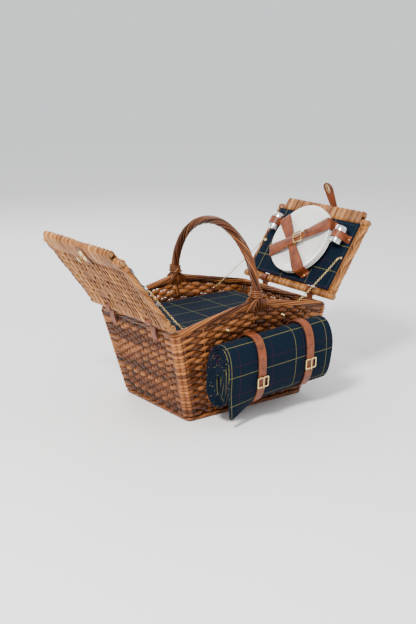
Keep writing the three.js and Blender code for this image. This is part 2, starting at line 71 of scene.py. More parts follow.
def add_camera():
    data = bpy.data.cameras.new("camera")
    data.lens = CAMERA_LENS
    data.sensor_width = 36.0
    camera = bpy.data.objects.new("camera", data)
    camera.location = CAMERA_PLACE
    camera.rotation_mode = "QUATERNION"
    camera.rotation_quaternion = (-Vector(CAMERA_BACK)).to_track_quat("-Z", "Y")
    bpy.context.scene.collection.objects.link(camera)
    bpy.context.scene.camera = camera


def add_light(name, place, size, power, colour=(1, 1, 1)):
    data = bpy.data.lights.new(name, "AREA")
    data.shape = "DISK"
    data.size = size
    data.energy = power
    data.color = colour
    light = bpy.data.objects.new(name, data)
    light.location = place
    light.rotation_mode = "QUATERNION"
    light.rotation_quaternion = (Vector((0, 0, 0.2)) - Vector(place)).to_track_quat("-Z", "Y")
    bpy.context.scene.collection.objects.link(light)


def add_studio():
    world = bpy.data.worlds.new("studio")
    world.use_nodes = True
    background = world.node_tree.nodes["Background"]
    background.inputs["Color"].default_value = SKY
    background.inputs["Strength"].default_value = 1.0
    bpy.context.scene.world = world
    add_light("key", (-2.1, -1.25, 2.6), 0.7, 170, (1.0, 0.97, 0.93))
    add_light("fill", (2.0, -2.2, 1.8), 2.0, 14, (0.95, 0.97, 1.0))
    add_light("back", (0.6, 2.4, 2.0), 1.6, 40)
    half = FLOOR_SIZE / 2
    mesh = bpy.data.meshes.new("floor")
    corners = [(-half, -half, 0), (half, -half, 0), (half, half, 0), (-half, half, 0)]
    mesh.from_pydata(corners, [], [(0, 1, 2, 3)])
    floor = bpy.data.objects.new("floor", mesh)
    paint = bpy.data.materials.new("white_floor")
    paint.use_nodes = True
    shader = paint.node_tree.nodes["Principled BSDF"]
    shader.inputs["Base Color"].default_value = (0.96, 0.96, 0.96, 1)
    shader.inputs["Roughness"].default_value = 0.9
    mesh.materials.append(paint)
    bpy.context.scene.collection.objects.link(floor)


# ---------------------------------------------------------------------------------------------
# Materials
# ---------------------------------------------------------------------------------------------
class Paint:
    """A material's nodes. A node's inputs are given as numbers, colours or other nodes' outputs."""

    def __init__(self, name, **sockets):
        self.material = bpy.data.materials.new(name)
        self.material.use_nodes = True
        self.tree = self.material.node_tree
        self.shader = self.tree.nodes["Principled BSDF"]
        for socket, value in sockets.items():
            self.set(self.shader, socket.replace("_", " "), value)

    def set(self, node, socket, value):
        target = node.inputs[socket]
        if isinstance(value, bpy.types.NodeSocket):
            self.tree.links.new(value, target)
        elif isinstance(value, tuple) and len(value) == 3 and len(target.default_value) == 4:
            target.default_value = (*value, 1)
        else:
            target.default_value = value

    def node(self, kind, inputs, output=0, **settings):
        node = self.tree.nodes.new(kind)
        for name, value in settings.items():
            setattr(node, name, value)
        for socket, value in inputs.items():
            self.set(node, socket, value)
        return node.outputs[output]

    def attribute(self, name, output="Vector"):
        return self.node("ShaderNodeAttribute", {}, output, attribute_name=name)

    def math(self, operation, a, b=0.0, c=0.0):
        return self.node("ShaderNodeMath", {0: a, 1: b, 2: c}, operation=operation)

    def mix(self, share, a, b):
        inputs = {"Factor": share, 6: a, 7: b}
        return self.node("ShaderNodeMix", inputs, 2, data_type="RGBA")

    def ramp(self, value, *stops):
        node = self.tree.nodes.new("ShaderNodeValToRGB")
        self.set(node, "Fac", value)
        elements = node.color_ramp.elements
        while len(elements) < len(stops):
            elements.new(1.0)
        for element, (place, colour) in zip(elements, stops):
            element.position = place
            element.color = (*colour, 1)
        return node.outputs[0]

    def noise(self, vector, scale, detail=3.0, stretch=(1, 1, 1)):
        if stretch != (1, 1, 1):
            inputs = {"Vector": vector, "Scale": stretch}
            vector = self.node("ShaderNodeMapping", inputs, vector_type="POINT")
        inputs = {"Vector": vector, "Scale": scale, "Detail": detail}
        return self.node("ShaderNodeTexNoise", inputs, "Fac")

    def finish(self, colour=None, roughness=None, bump=None, strength=0.3, distance=0.001):
        if colour is not None:
            self.set(self.shader, "Base Color", colour)
        if roughness is not None:
            self.set(self.shader, "Roughness", roughness)
        if bump is not None:
            inputs = {"Height": bump, "Strength": strength, "Distance": distance}
            normal = self.node("ShaderNodeBump", inputs)
            self.set(self.shader, "Normal", normal)
        return self.material


def willow(name, dark, middle, light):
    """Peeled and steamed rods: each has its own shade, streaks along it and a satin skin."""
    paint = Paint(name, Specular_IOR_Level=0.30)
    grain = paint.attribute("grain")
    # shade: each rod's own tone, plus painted highlight at the wall corners and painted shade on the dark
    # cores and at the lid groups' edges
    shade = paint.attribute("shade", "Fac")
    streak = paint.noise(grain, 1.0, 4.0, (35, 900, 900))
    patch = paint.noise(grain, 1.0, 2.0, (14, 60, 60))
    mixed = paint.math("MULTIPLY_ADD", streak, 0.34, -0.17)
    mixed = paint.math("MULTIPLY_ADD", patch, 0.44, paint.math("ADD", mixed, -0.22))
    tone = paint.math("ADD", mixed, shade)
    colour = paint.ramp(tone, (0.0, dark), (0.5, middle), (1.0, light))
    roughness = paint.math("MULTIPLY_ADD", streak, 0.26, 0.24)
    return paint.finish(colour, roughness, streak, 0.35, 0.0006)


def cut_willow(name, dark, light):
    """The sawn end of a rod: pale wood with rings round a dark pith."""
    paint = Paint(name, Specular_IOR_Level=0.2)
    grain = paint.attribute("grain")
    rings = paint.noise(grain, 1.0, 3.0, (0.1, 1400, 1400))
    colour = paint.ramp(rings, (0.25, dark), (0.75, light))
    return paint.finish(colour, 0.75, rings, 0.4, 0.0004)


def lines(paint, coordinate, spacing, place, width):
    """1 on lines of that width, a spacing apart, one of them at place."""
    turns = paint.math("MULTIPLY_ADD", coordinate, 1 / spacing, 0.5 - place / spacing)
    off = paint.math("ABSOLUTE", paint.math("SUBTRACT", paint.math("FRACT", turns), 0.5))
    return paint.math("LESS_THAN", off, width / 2 / spacing)


CHECK = {"u": 0.108, "v": 0.080, "olive": 0.0016, "red": 0.0013, "red_u": 0.028, "red_v": 0.028}
NAVY = [(0.3, (0.0016, 0.0050, 0.0115)), (0.52, (0.0030, 0.0092, 0.0195)), (0.8, (0.0080, 0.0185, 0.0320))]
OLIVE, RED = (0.170, 0.150, 0.050), (0.050, 0.008, 0.020)
THREAD_PITCH = 0.0016
TAN = [(0.25, (0.100, 0.021, 0.006)), (0.5, (0.185, 0.042, 0.0115)), (0.8, (0.265, 0.070, 0.020))]
BURNISHED = (0.085, 0.028, 0.014)


def tweed(name):
    """Navy wool with a window-pane check of thin olive lines and faint red ones between them."""
    paint = Paint(name, Specular_IOR_Level=0.05, Sheen_Weight=0.02, Sheen_Roughness=0.5)
    cloth = paint.attribute("cloth")
    apart = paint.tree.nodes.new("ShaderNodeSeparateXYZ")
    paint.set(apart, "Vector", cloth)
    wobble = paint.noise(cloth, 260.0, 2.0)
    shift = paint.math("MULTIPLY_ADD", wobble, 0.0012, -0.0006)
    u = paint.math("ADD", apart.outputs[0], shift)
    v = paint.math("ADD", apart.outputs[1], shift)
    fleck = paint.noise(cloth, 900.0, 3.0)
    base = paint.ramp(fleck, *NAVY)
    olive_u = lines(paint, u, CHECK["u"], 0.0, CHECK["olive"])
    olive_v = lines(paint, v, CHECK["v"], 0.0, CHECK["olive"])
    olive = paint.math("MAXIMUM", olive_u, olive_v)
    red_u = lines(paint, u, CHECK["u"], CHECK["red_u"], CHECK["red"])
    red_v = lines(paint, v, CHECK["v"], CHECK["red_v"], CHECK["red"])
    red = paint.math("MAXIMUM", red_u, red_v)
    colour = paint.mix(paint.math("MULTIPLY", red, 0.7), base, RED)
    colour = paint.mix(paint.math("MULTIPLY", olive, 0.85), colour, OLIVE)
    thread = 2 * math.pi / THREAD_PITCH
    warp = paint.math("SINE", paint.math("MULTIPLY", apart.outputs[0], thread))
    weft = paint.math("SINE", paint.math("MULTIPLY", apart.outputs[1], thread))
    twill = paint.math("MULTIPLY_ADD", paint.math("MULTIPLY", warp, weft), 0.5, fleck)
    return paint.finish(colour, 0.92, twill, 0.5, 0.0005)


def plain_cloth(name, dark, light):
    """The bound edge of the tweed: a plain dark tape with a fine rib."""
    paint = Paint(name, Specular_IOR_Level=0.15, Sheen_Weight=0.25, Sheen_Roughness=0.4)
    grain = paint.attribute("grain")
    fleck = paint.noise(grain, 1.0, 3.0, (1600, 700, 700))
    colour = paint.ramp(fleck, (0.3, dark), (0.75, light))
    return paint.finish(colour, 0.9, fleck, 0.5, 0.0004)


def leather(name):
    """Smooth tan hide: a fine grain, soft clouding and burnished dark edges."""
    paint = Paint(name, Specular_IOR_Level=0.34, Coat_Weight=0.05, Coat_Roughness=0.35)
    grain = paint.attribute("grain")
    cloud = paint.noise(grain, 55.0, 3.0)
    pore = paint.node("ShaderNodeTexVoronoi", {"Vector": grain, "Scale": 1500.0}, "Distance")
    tone = paint.math("MULTIPLY_ADD", pore, -0.12, cloud)
    body = paint.ramp(tone, *TAN)
    edge = paint.attribute("edge", "Fac")
    worn = paint.math("GREATER_THAN", edge, 0.965)
    colour = paint.mix(paint.math("MULTIPLY", worn, 0.65), body, BURNISHED)
    roughness = paint.math("MULTIPLY_ADD", cloud, 0.25, 0.33)
    return paint.finish(colour, roughness, pore, 0.22, 0.0003)


def thread_paint(name, colour):
    paint = Paint(name, Specular_IOR_Level=0.3)
    fray = paint.noise(paint.attribute("grain"), 3000.0, 2.0)
    light = tuple(min(1.0, 1.25 * c) for c in colour)
    return paint.finish(paint.ramp(fray, (0.3, colour), (0.7, light)), 0.7, fray, 0.3, 0.0002)


def metal(name, dull, bright, roughness, scratches):
    """Polished metal with faint handling marks."""
    paint = Paint(name, Metallic=1.0)
    place = paint.node("ShaderNodeTexCoord", {}, "Object")
    mark = paint.noise(place, scratches, 4.0)
    colour = paint.ramp(mark, (0.3, dull), (0.6, bright))
    rough = paint.math("MULTIPLY_ADD", mark, 0.22, roughness - 0.08)
    return paint.finish(colour, rough, mark, 0.05, 0.0002)


def glaze(name):
    """White china: a clear glaze over a body with a trace of warmth and ripple."""
    paint = Paint(name, Specular_IOR_Level=0.5, Coat_Weight=0.7, Coat_Roughness=0.06)
    place = paint.node("ShaderNodeTexCoord", {}, "Object")
    ripple = paint.noise(place, 22.0, 2.0)
    colour = paint.ramp(ripple, (0.3, (0.80, 0.79, 0.765)), (0.7, (0.87, 0.865, 0.85)))
    return paint.finish(colour, 0.22, ripple, 0.06, 0.002)


def foil(name):
    """The cooler's wipe-clean inside: dull silver with soft creases, painted darker in their hollows as
    shade.
    """
    paint = Paint(name, Metallic=0.85)
    place = paint.node("ShaderNodeTexCoord", {}, "Object")
    crease_and_shade = paint.node("ShaderNodeTexVoronoi", {"Vector": place, "Scale": 38.0}, "Distance")
    # darker where the creases dip: painted shade
    colour = paint.ramp(crease_and_shade, (0.1, (0.50, 0.51, 0.52)), (0.6, (0.66, 0.67, 0.68)))
    return paint.finish(colour, 0.38, crease_and_shade, 0.5, 0.003)


BROWN = willow("brown_willow", (0.010, 0.0030, 0.0014), (0.104, 0.0285, 0.0064), (0.40, 0.142, 0.037))
GOLD = willow("golden_willow", (0.070, 0.021, 0.005), (0.270, 0.099, 0.0225), (0.61, 0.282, 0.080))
CUT = cut_willow("cut_willow", (0.13, 0.055, 0.02), (0.36, 0.20, 0.085))
TWEED = tweed("navy_tweed")
TAPE = plain_cloth("navy_tape", (0.006, 0.012, 0.026), (0.016, 0.028, 0.048))
HIDE = leather("tan_leather")
# the painted shadow inside punched holes
HOLE_SHADOW = thread_paint("hole_shadow", (0.020, 0.008, 0.005))
THREAD = thread_paint("leather_thread", (0.25, 0.11, 0.04))
NAVY_THREAD = thread_paint("navy_thread", (0.03, 0.05, 0.08))
BRASS = metal("polished_brass", (0.62, 0.43, 0.16), (0.86, 0.66, 0.31), 0.26, 90.0)
STEEL = metal("polished_steel", (0.60, 0.60, 0.61), (0.84, 0.84, 0.85), 0.17, 60.0)
CHINA = glaze("white_glaze")
FOIL = foil("silver_foil")

# Finishes: the slot of a piece, then the materials of its faces
BROWN_WILLOW = ("brown_willow", BROWN, CUT)
GOLDEN_WILLOW = ("golden_willow", GOLD, CUT)
LEATHER = ("tan_leather", HIDE)
STITCHING = ("tan_leather", THREAD)
PUNCHED_SHADOW = ("tan_leather", HOLE_SHADOW)
BRASS_WORK = ("brass", BRASS)
NAVY_STITCHING = ("navy_tweed", NAVY_THREAD)
TAPED = ("navy_tweed", TAPE)

# ---------------------------------------------------------------------------------------------
# Swept solids
# ---------------------------------------------------------------------------------------------


def unit(vectors):
    return vectors / np.linalg.norm(vectors, axis=-1, keepdims=True)


def ease(share):
    return share * share * (3 - 2 * share)


def circle(sides):
    angle = 2 * np.pi * np.arange(sides) / sides
    return np.stack([np.cos(angle), np.sin(angle)], 1)


STRAP_SECTION = np.array([
    (1.0, 0.35), (0.985, 0.75), (0.95, 1.0), (0.5, 1.0), (0.0, 1.0), (-0.5, 1.0), (-0.95, 1.0),
    (-0.985, 0.75), (-1.0, 0.35), (-1.0, -0.35), (-0.985, -0.75), (-0.95, -1.0), (0.0, -1.0),
    (0.95, -1.0), (0.985, -0.75), (1.0, -0.35),
])


def frames(line, top, closed=False):
    """The sideways and upward directions along a line whose top faces roughly that way."""
    if closed:
        along = np.roll(line, -1, 0) - np.roll(line, 1, 0)
    else:
        along = np.gradient(line, axis=0)
    along = unit(along)
    side = unit(np.cross(along, top))
    return side, unit(np.cross(side, along))


def soften(points, reach, steps=5):
    """The line through the points with each corner rounded, starting reach before it."""
    points = [np.asarray(p, float) for p in points]
    line = [points[0]]
    for before, corner, after in zip(points, points[1:], points[2:]):
        back = min(reach, 0.45 * np.linalg.norm(corner - before))
        on = min(reach, 0.45 * np.linalg.norm(after - corner))
        start = corner + unit(before - corner) * back
        end = corner + unit(after - corner) * on
        for i in range(steps + 1):
            t = i / steps
            line.append((1 - t) ** 2 * start + 2 * t * (1 - t) * corner + t * t * end)
    line.append(points[-1])
    return np.array(line)


def lengths(line):
    """How far along a line each of its points is."""
    return np.concatenate([[0], np.cumsum(np.linalg.norm(np.diff(line, axis=0), axis=1))])


def resample(line, step):
    """The same line with points about that far apart."""
    line = np.asarray(line, float)
    along = lengths(line)
    count = max(2, int(round(along[-1] / step)) + 1)
    at = np.linspace(0, along[-1], count)
    return np.stack([np.interp(at, along, line[:, k]) for k in range(3)], 1)


class Bundle:
    """Swept and plain solids gathered into one mesh, with a shade, a grain place and an edge value."""

    def __init__(self, seed):
        self.random = np.random.RandomState(seed)
        self.points, self.grain, self.shade, self.edge = [], [], [], []
        self.faces, self.paints, self.flat = [], [], []
        self.count = 0

    def _add(self, points, grain, shade, edge):
        self.points.append(points)
        self.grain.append(grain + self.random.uniform(0, 40, 3))
        self.shade.append(np.ones(len(points)) * shade)
        self.edge.append(np.ones(len(points)) * edge)
        start = self.count
        self.count += len(points)
        return start

    def _face(self, faces, paint=0, flat=False):
        self.faces += faces
        self.paints += [paint] * len(faces)
        self.flat += [flat] * len(faces)

    def sweep(self, line, top, section, scale, shade=0.5, closed=False, end_paint=0):
        """A section carried along a line, its second axis facing top."""
        line = np.asarray(line, float)
        side, up = frames(line, top, closed)
        flat = section[None] * (np.ones((len(line), 2)) * scale)[:, None]
        rings = line[:, None] + flat[..., :1] * side[:, None] + flat[..., 1:] * up[:, None]
        n, m = rings.shape[:2]
        grain = np.concatenate([np.broadcast_to(lengths(line)[:, None, None], (n, m, 1)), flat], 2)
        edge = np.broadcast_to(np.abs(section[:, 0])[None], (n, m)).reshape(-1)
        if np.ndim(shade):
            shade = np.repeat(shade, m)
        start = self._add(rings.reshape(-1, 3), grain.reshape(-1, 3), shade, edge)
        index = start + np.arange(n * m).reshape(n, m)
        a, b = index, np.roll(index, -1, 0)
        if not closed:
            a, b = a[:-1], b[:-1]
        quads = np.stack([a, b, np.roll(b, -1, 1), np.roll(a, -1, 1)], -1).reshape(-1, 4)
        self._face(quads.tolist())
        if not closed:
            caps = [index[0].tolist(), index[-1][::-1].tolist()]
            self._face(caps, end_paint, True)

    def rod(self, line, radius, top, sides=8, shade=None, closed=False):
        shade = self.random.uniform(0.3, 0.7) if shade is None else shade
        self.sweep(line, top, circle(sides), radius, shade, closed, 1)

    def rope(self, path, top, strands, ring, radius, turns, closed, sides, shades):
        """Rods twisted round a path, making that many turns along it."""
        path = np.asarray(path, float)
        side, up = frames(path, top, closed)
        along = lengths(np.concatenate([path, path[:1]]) if closed else path)
        share = along[:len(path)] / along[-1]
        ring = np.ones(len(path)) * ring
        for k in range(strands):
            wander = 0.10 * np.sin(2 * np.pi * (3 * share + self.random.uniform()))
            angle = 2 * np.pi * (k / strands + turns * share) + wander
            reach = ring * (1 + 0.05 * np.sin(2 * np.pi * (2 * share + self.random.uniform())))
            line = path + (reach * np.cos(angle))[:, None] * side + (reach * np.sin(angle))[:, None] * up
            thick = radius * self.random.uniform(0.93, 1.05)
            self.rod(line, thick, side, sides, self.random.uniform(*shades), closed)

    def lathe(self, profile, matrix, segments):
        """A profile of (radius, height) from the axis back to the axis, turned round Z and moved."""
        angle = 2 * np.pi * np.arange(segments) / segments
        profile = np.asarray(profile, float)
        inner = profile[1:-1]
        r, z = inner[:, :1], inner[:, 1:]
        rings = np.stack([r * np.cos(angle), r * np.sin(angle), z + 0 * angle], -1)
        m = len(inner)
        tips = np.array([[0, 0, profile[0, 1]], [0, 0, profile[-1, 1]]])
        points = np.concatenate([rings.reshape(-1, 3), tips])
        start = self._add(turned(points, matrix), points, 0.5, 0.0)
        index = start + np.arange(m * segments).reshape(m, segments)
        a, b = index[:-1], index[1:]
        quads = np.stack([a, np.roll(a, -1, 1), np.roll(b, -1, 1), b], -1)
        self._face(quads.reshape(-1, 4).tolist())
        low, high = start + m * segments, start + m * segments + 1
        first, last = index[0], index[-1]
        self._face([[low, int(q), int(p)] for p, q in zip(first, np.roll(first, -1))])
        self._face([[high, int(p), int(q)] for p, q in zip(last, np.roll(last, -1))])

    def slab(self, outline, low, high, matrix, bevel, hole=None, paint=0):
        """A flat outline made solid from low to high, its rims eased. A hole has as many points."""
        count = len(outline)
        layers = [(low, bevel), (low + bevel, 0), (high - bevel, 0), (high, bevel)]
        index = []
        for loop, way, edge in ((outline, 1, 1.0), (hole, -1, 0.9)):
            if loop is None:
                continue
            loop = np.asarray(loop, float)
            inward = loop_normals(loop) * way
            rings = [np.column_stack([loop + inward * b, np.full(count, z)]) for z, b in layers]
            points = np.concatenate(rings)
            start = self._add(turned(points, matrix), points, 0.5, edge)
            index.append(start + np.arange(4 * count).reshape(4, count))
            for a, b in zip(index[-1], index[-1][1:]):
                quads = np.stack([a, np.roll(a, -1), np.roll(b, -1), b], -1)
                self._face(quads[:, ::way].tolist(), paint)
        if hole is None:
            self._face([index[0][3].tolist(), index[0][0][::-1].tolist()], paint, True)
            return
        outer, inner = index
        top = np.stack([outer[3], np.roll(outer[3], -1), np.roll(inner[3], -1), inner[3]], -1)
        bottom = np.stack([outer[0], inner[0], np.roll(inner[0], -1), np.roll(outer[0], -1)], -1)
        self._face(top.tolist() + bottom.tolist(), paint, True)

    def build(self, name, body, finish, replaces=(), matrix=None, ride=True):
        """The solids as one piece. A finish is a slot and the materials of paint 0, 1 and so on."""
        slot, *materials = finish
        mesh = bpy.data.meshes.new(name)
        mesh.from_pydata(np.concatenate(self.points).tolist(), [], self.faces)
        for material in materials:
            mesh.materials.append(material)
        mesh.polygons.foreach_set("material_index", self.paints)
        mesh.polygons.foreach_set("use_smooth", [not flat for flat in self.flat])
        put(mesh, "grain", np.concatenate(self.grain))
        put(mesh, "shade", np.concatenate(self.shade))
        put(mesh, "edge", np.concatenate(self.edge))
        if matrix is not None:
            mesh.transform(matrix)
        mesh.update()
        return place(mesh, name, body, slot, replaces, ride)

    def build_on(self, lid, name, finish, replaces=()):
        """The same for solids drawn in a lid's own frame."""
        return self.build(name, lid + "_lid", finish, replaces, lid_matrix(lid))


def claim(piece, body, slot, replaces=(), ride=True):
    """Hide the CAD nodes that a piece stands for and attach it to the body it rides on. The slot is not
    used.
    """
    if replaces:
        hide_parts(*replaces)
    if ride:
        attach(piece, body)


def place(mesh, name, body, slot, replaces=(), ride=True):
    """The mesh as a piece that rides on a body and stands for some CAD nodes."""
    piece = bpy.data.objects.new(name, mesh)
    bpy.context.scene.collection.objects.link(piece)
    claim(piece, body, slot, replaces, ride)
    return piece


def put(mesh, name, values):
    values = np.asarray(values, np.float32)
    kind, field = ("FLOAT", "value") if values.ndim == 1 else ("FLOAT_VECTOR", "vector")
    attribute = mesh.attributes.new(name, kind, "POINT")
    attribute.data.foreach_set(field, values.ravel())


def turned(points, matrix):
    turn = np.array(matrix, float)
    return points @ turn[:3, :3].T + turn[:3, 3]


def loop_normals(loop):
    """Inward unit normals of a counter-clockwise loop in the plane."""
    along = unit(np.roll(loop, -1, 0) - np.roll(loop, 1, 0))
    return np.column_stack([-along[:, 1], along[:, 0]])


def basis(x, y, z, at):
    """The matrix whose axes are x, y and z, at a point."""
    rows = [(x[k], y[k], z[k], at[k]) for k in range(3)]
    return Matrix((*rows, (0, 0, 0, 1)))


def facing(out, at):
    """The matrix of something round that stands on a point and faces out."""
    z = Vector(out).normalized()
    x = z.orthogonal().normalized()
    return basis(x, z.cross(x), z, at)


def rounded_rectangle(x, y, r, steps=4):
    """Points of a rounded rectangle of those half sizes, counter-clockwise."""
    points = []
    for cx, cy, start in ((1, 1, 0), (-1, 1, 90), (-1, -1, 180), (1, -1, 270)):
        for i in range(steps + 1):
            angle = math.radians(start + 90 * i / steps)
            points.append((cx * (x - r) + r * math.cos(angle), cy * (y - r) + r * math.sin(angle)))
    return points


def ellipse(x, y, count=32):
    return circle(count) * (x, y)


def level_loop(x, y, corner, z, step):
    """A closed line round a rounded rectangle of those half sizes, at a height."""
    loop = [(*p, z) for p in rounded_rectangle(x, y, corner, 6)]
    return resample(loop + loop[:1], step)[:-1]


def dome(radius, height, steps=5):
    """The profile of a rivet head standing on Z = 0."""
    arc = [(radius * math.cos(a), height * math.sin(a)) for a in np.linspace(0, math.pi / 2, steps + 1)]
    return [(0, -0.4 * MM), (radius, -0.4 * MM), *arc[:-1], (0, height)]


# ---------------------------------------------------------------------------------------------
# The basket's shape, read from the frame
# ---------------------------------------------------------------------------------------------
foot_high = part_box("foot_border")[1]
side_low, side_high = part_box("rim_right")
front_low, front_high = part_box("front_wall")
BASE_X, BASE_Y, FOOT_TOP = foot_high
RIM_X, RIM_END = side_high.x, side_high.z
RIM_RADIUS = (side_high.z - side_low.z) / 2
RIM_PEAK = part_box("rim_front")[1].z
WALL_INSET = 3 * MM
LEAN_X = (RIM_X - BASE_X) / RIM_END
LEAN_Y = (WALL_INSET - front_low.y - BASE_Y) / front_high.z
RIM_SLOPE = (RIM_PEAK - RIM_END) / RIM_X


def outer_x(z):
    return BASE_X + LEAN_X * z


def outer_y(z):
    return BASE_Y + LEAN_Y * z


def rim_z(x):
    return RIM_PEAK - RIM_RADIUS - RIM_SLOPE * np.sqrt(x * x + (14 * MM) ** 2)


LONG_STAKES, SHORT_STAKES = 19, 15
STAKE_RADIUS, CORNER_STICK_RADIUS = 2.6 * MM, 4.2 * MM
SLANTING = (0.3, 0.2, 0)  # any direction that no upright stick has
ROWS, RODS_IN_ROW = 25, 4
ROD_HALF = 2.9 * MM
ROD_FILL = 0.55  # a rod's half height, as a share of the rows' pitch
ROW_JITTER = 0.35 * MM
TUCK_IN = np.array([[2.6], [1.8], [0.8]]) * MM  # how far a rod's first points go in behind a stake
BASE_STICK = 2.6 * MM  # the floor's sticks, and how far its rods swing about them
BASE_PITCH = 6.2 * MM
STEPS = 6  # points along a rod from one stake to the next
WALL_MIDDLE, WAVE = 8.0 * MM, 3.5 * MM  # the stakes' inset, and how far the rods swing about it
CORNER_CLEAR = 25 * MM
CORNER_ROUTE = [  # distances from the next side's outer plane and from this side's
    (23, 6.6), (20.6, 3.8), (18.2, 2.4), (15.6, 2.4), (13.4, 3.6), (11.6, 5.8), (10.9, 8.3), (10.9, 10.9),
    (8.3, 10.9), (5.8, 11.6), (3.6, 13.4), (2.4, 15.6), (2.4, 18.2), (3.8, 20.6), (6.6, 23),
]
CORNER_STICKS = [(17.0, 9.2), (9.2, 17.0)]
PAINTED_CORNER_HIGHLIGHT = 0.26  # painted highlight: how much lighter the rods are painted where they bend round the corner


def on_side(side, share, inset):
    """Plan coefficients (cx, dx, cy, dy): x = cx X + dx and y = cy Y + dy, for half sizes X and Y."""
    clear = -CORNER_CLEAR * share
    return [
        (share, clear, -1, inset), (1, -inset, share, clear),
        (-share, -clear, 1, -inset), (-1, inset, -share, -clear),
    ][side]


def at_corner(side, a, b):
    a, b = a * MM, b * MM
    return [(1, -a, -1, b), (1, -b, 1, -a), (-1, a, 1, -b), (-1, b, -1, a)][side]


def stakes_on(side):
    return LONG_STAKES if side % 2 == 0 else SHORT_STAKES


def row_plan(phase):
    """One row of the weave round the basket.

    Returns its plan, the places behind a stake, its painted highlight at the corners and whose wall each
    point is on."""
    plan, behind, corner, owner = [], [], [], []
    for side in range(4):
        count = stakes_on(side)
        swing = [1] + [(-1) ** (i + phase) for i in range(count)] + [1]
        for i in range(count + 1):
            if swing[i] < 0:
                behind.append(len(plan))
            for k in range(STEPS):
                t = k / STEPS
                bend = swing[i] + (swing[i + 1] - swing[i]) * (1 - math.cos(math.pi * t)) / 2
                share = -1 + 2 * (i + t) / (count + 1)
                plan.append(on_side(side, share, WALL_MIDDLE - WAVE * bend))
        plan += [at_corner(side, a, b) for a, b in CORNER_ROUTE]
        corner += [(len(plan) - len(CORNER_ROUTE), len(plan))]
        owner += [side] * (len(plan) - len(owner) - len(CORNER_ROUTE) // 2)
    owner += [0] * (len(plan) - len(owner))
    painted_highlight = np.zeros(len(plan))
    for start, end in corner:
        painted_highlight[start:end] = PAINTED_CORNER_HIGHLIGHT * np.abs(np.sin(np.linspace(0, 2 * np.pi, end - start)))
    return np.array(plan), behind, painted_highlight, np.array(owner)


def runs(values):
    """Where each run of equal values starts and ends."""
    edges = np.flatnonzero(np.diff(values)) + 1
    return zip([0, *edges], [*edges, len(values)])


WEAVE_BOTTOM = FOOT_TOP + 2 * MM


def on_wall(plan, height):
    """Points of a plan at a share of the height from the foot to the rim, which rises to the middle."""
    cx, dx, cy, dy = plan.T
    z = np.full(len(plan), WEAVE_BOTTOM)
    for _ in range(4):
        x = cx * outer_x(z) + dx
        z = WEAVE_BOTTOM + height * (rim_z(x) - 0.4 * RIM_RADIUS - WEAVE_BOTTOM)
    return np.stack([x, cy * outer_y(z) + dy, z], 1)


def add_weave():
    """Rows of rods round the whole basket, each rod tucked in behind a stake, and the upright sticks."""
    walls = [Bundle(11 + 100 * side) for side in range(4)]
    random = walls[0].random
    plans = [row_plan(0), row_plan(1)]
    for row in range(ROWS):
        plan, behind, painted_highlight, owner = plans[row % 2]
        points = on_wall(plan, (row + 0.5) / ROWS)
        points[:, 2] += ROW_JITTER * np.sin(np.linspace(0, 2 * np.pi * 9, len(plan)) + random.uniform(0, 6))
        thick = ROD_FILL * (rim_z(points[:, 0]) - WEAVE_BOTTOM) / ROWS
        cuts = [behind[b] for b in sorted(random.choice(len(behind), RODS_IN_ROW, replace=False))]
        for start, end in zip(cuts, cuts[1:] + [cuts[0] + len(plan)]):
            index = np.arange(start - 2, end + 3) % len(plan)
            line = points[index].copy()
            line[:3] += unit(line[:3] * (0, 0, 1) - line[:3]) * TUCK_IN
            taper = np.linspace(1.06, 0.9, len(index))
            size = np.stack([ROD_HALF * taper, thick[index] * taper], 1)
            # each rod's own random tone, plus the painted highlight where it bends round a corner
            shade = random.uniform(0.10, 0.80) + painted_highlight[index]
            for first, last in runs(owner[index]):
                part = slice(max(first - 1, 0), last)
                walls[owner[index[first]]].rod(line[part], size[part], UP, 8, shade[part])
    for name, rods in zip(("front", "right", "back", "left"), walls):
        rods.build(name + "_weave", "basket", BROWN_WILLOW, [name + "_wall"])
    add_uprights()


def upright(plan):
    """A line up the wall, from the foot to the rim."""
    return np.concatenate([on_wall(np.array([plan]), h) for h in np.linspace(0, 1, 12)])


def add_uprights():
    """The stakes that the rods swing round, and two sticks inside each corner."""
    stakes, sticks = Bundle(12), Bundle(13)
    for side in range(4):
        count = stakes_on(side)
        for i in range(1, count + 1):
            line = upright(on_side(side, -1 + 2 * i / (count + 1), WALL_MIDDLE))
            stakes.rod(line, STAKE_RADIUS, SLANTING, 8)
        for a, b in CORNER_STICKS:
            sticks.rod(upright(at_corner(side, a, b)), CORNER_STICK_RADIUS, SLANTING, 10, 0.35)
    stakes.build("side_stakes", "basket", BROWN_WILLOW)
    names = [f"corner_post_{f}_{l}" for f in ("front", "back") for l in ("left", "right")]
    sticks.build("corner_sticks", "basket", BROWN_WILLOW, names)


def ring_path(inset, corner, z_of, step):
    """A closed path round the basket at an inset from its outer faces, at the height z_of gives."""
    z_start = z_of(RIM_X)
    x, y = outer_x(z_start) - inset, outer_y(z_start) - inset
    line = level_loop(x, y, corner, 0, step)
    line[:, 2] = z_of(line[:, 0])
    grow = LEAN_Y * (line[:, 2] - z_start)
    line[:, 1] += np.sign(line[:, 1]) * grow * np.clip(np.abs(line[:, 1]) / y, 0, 1)
    return line


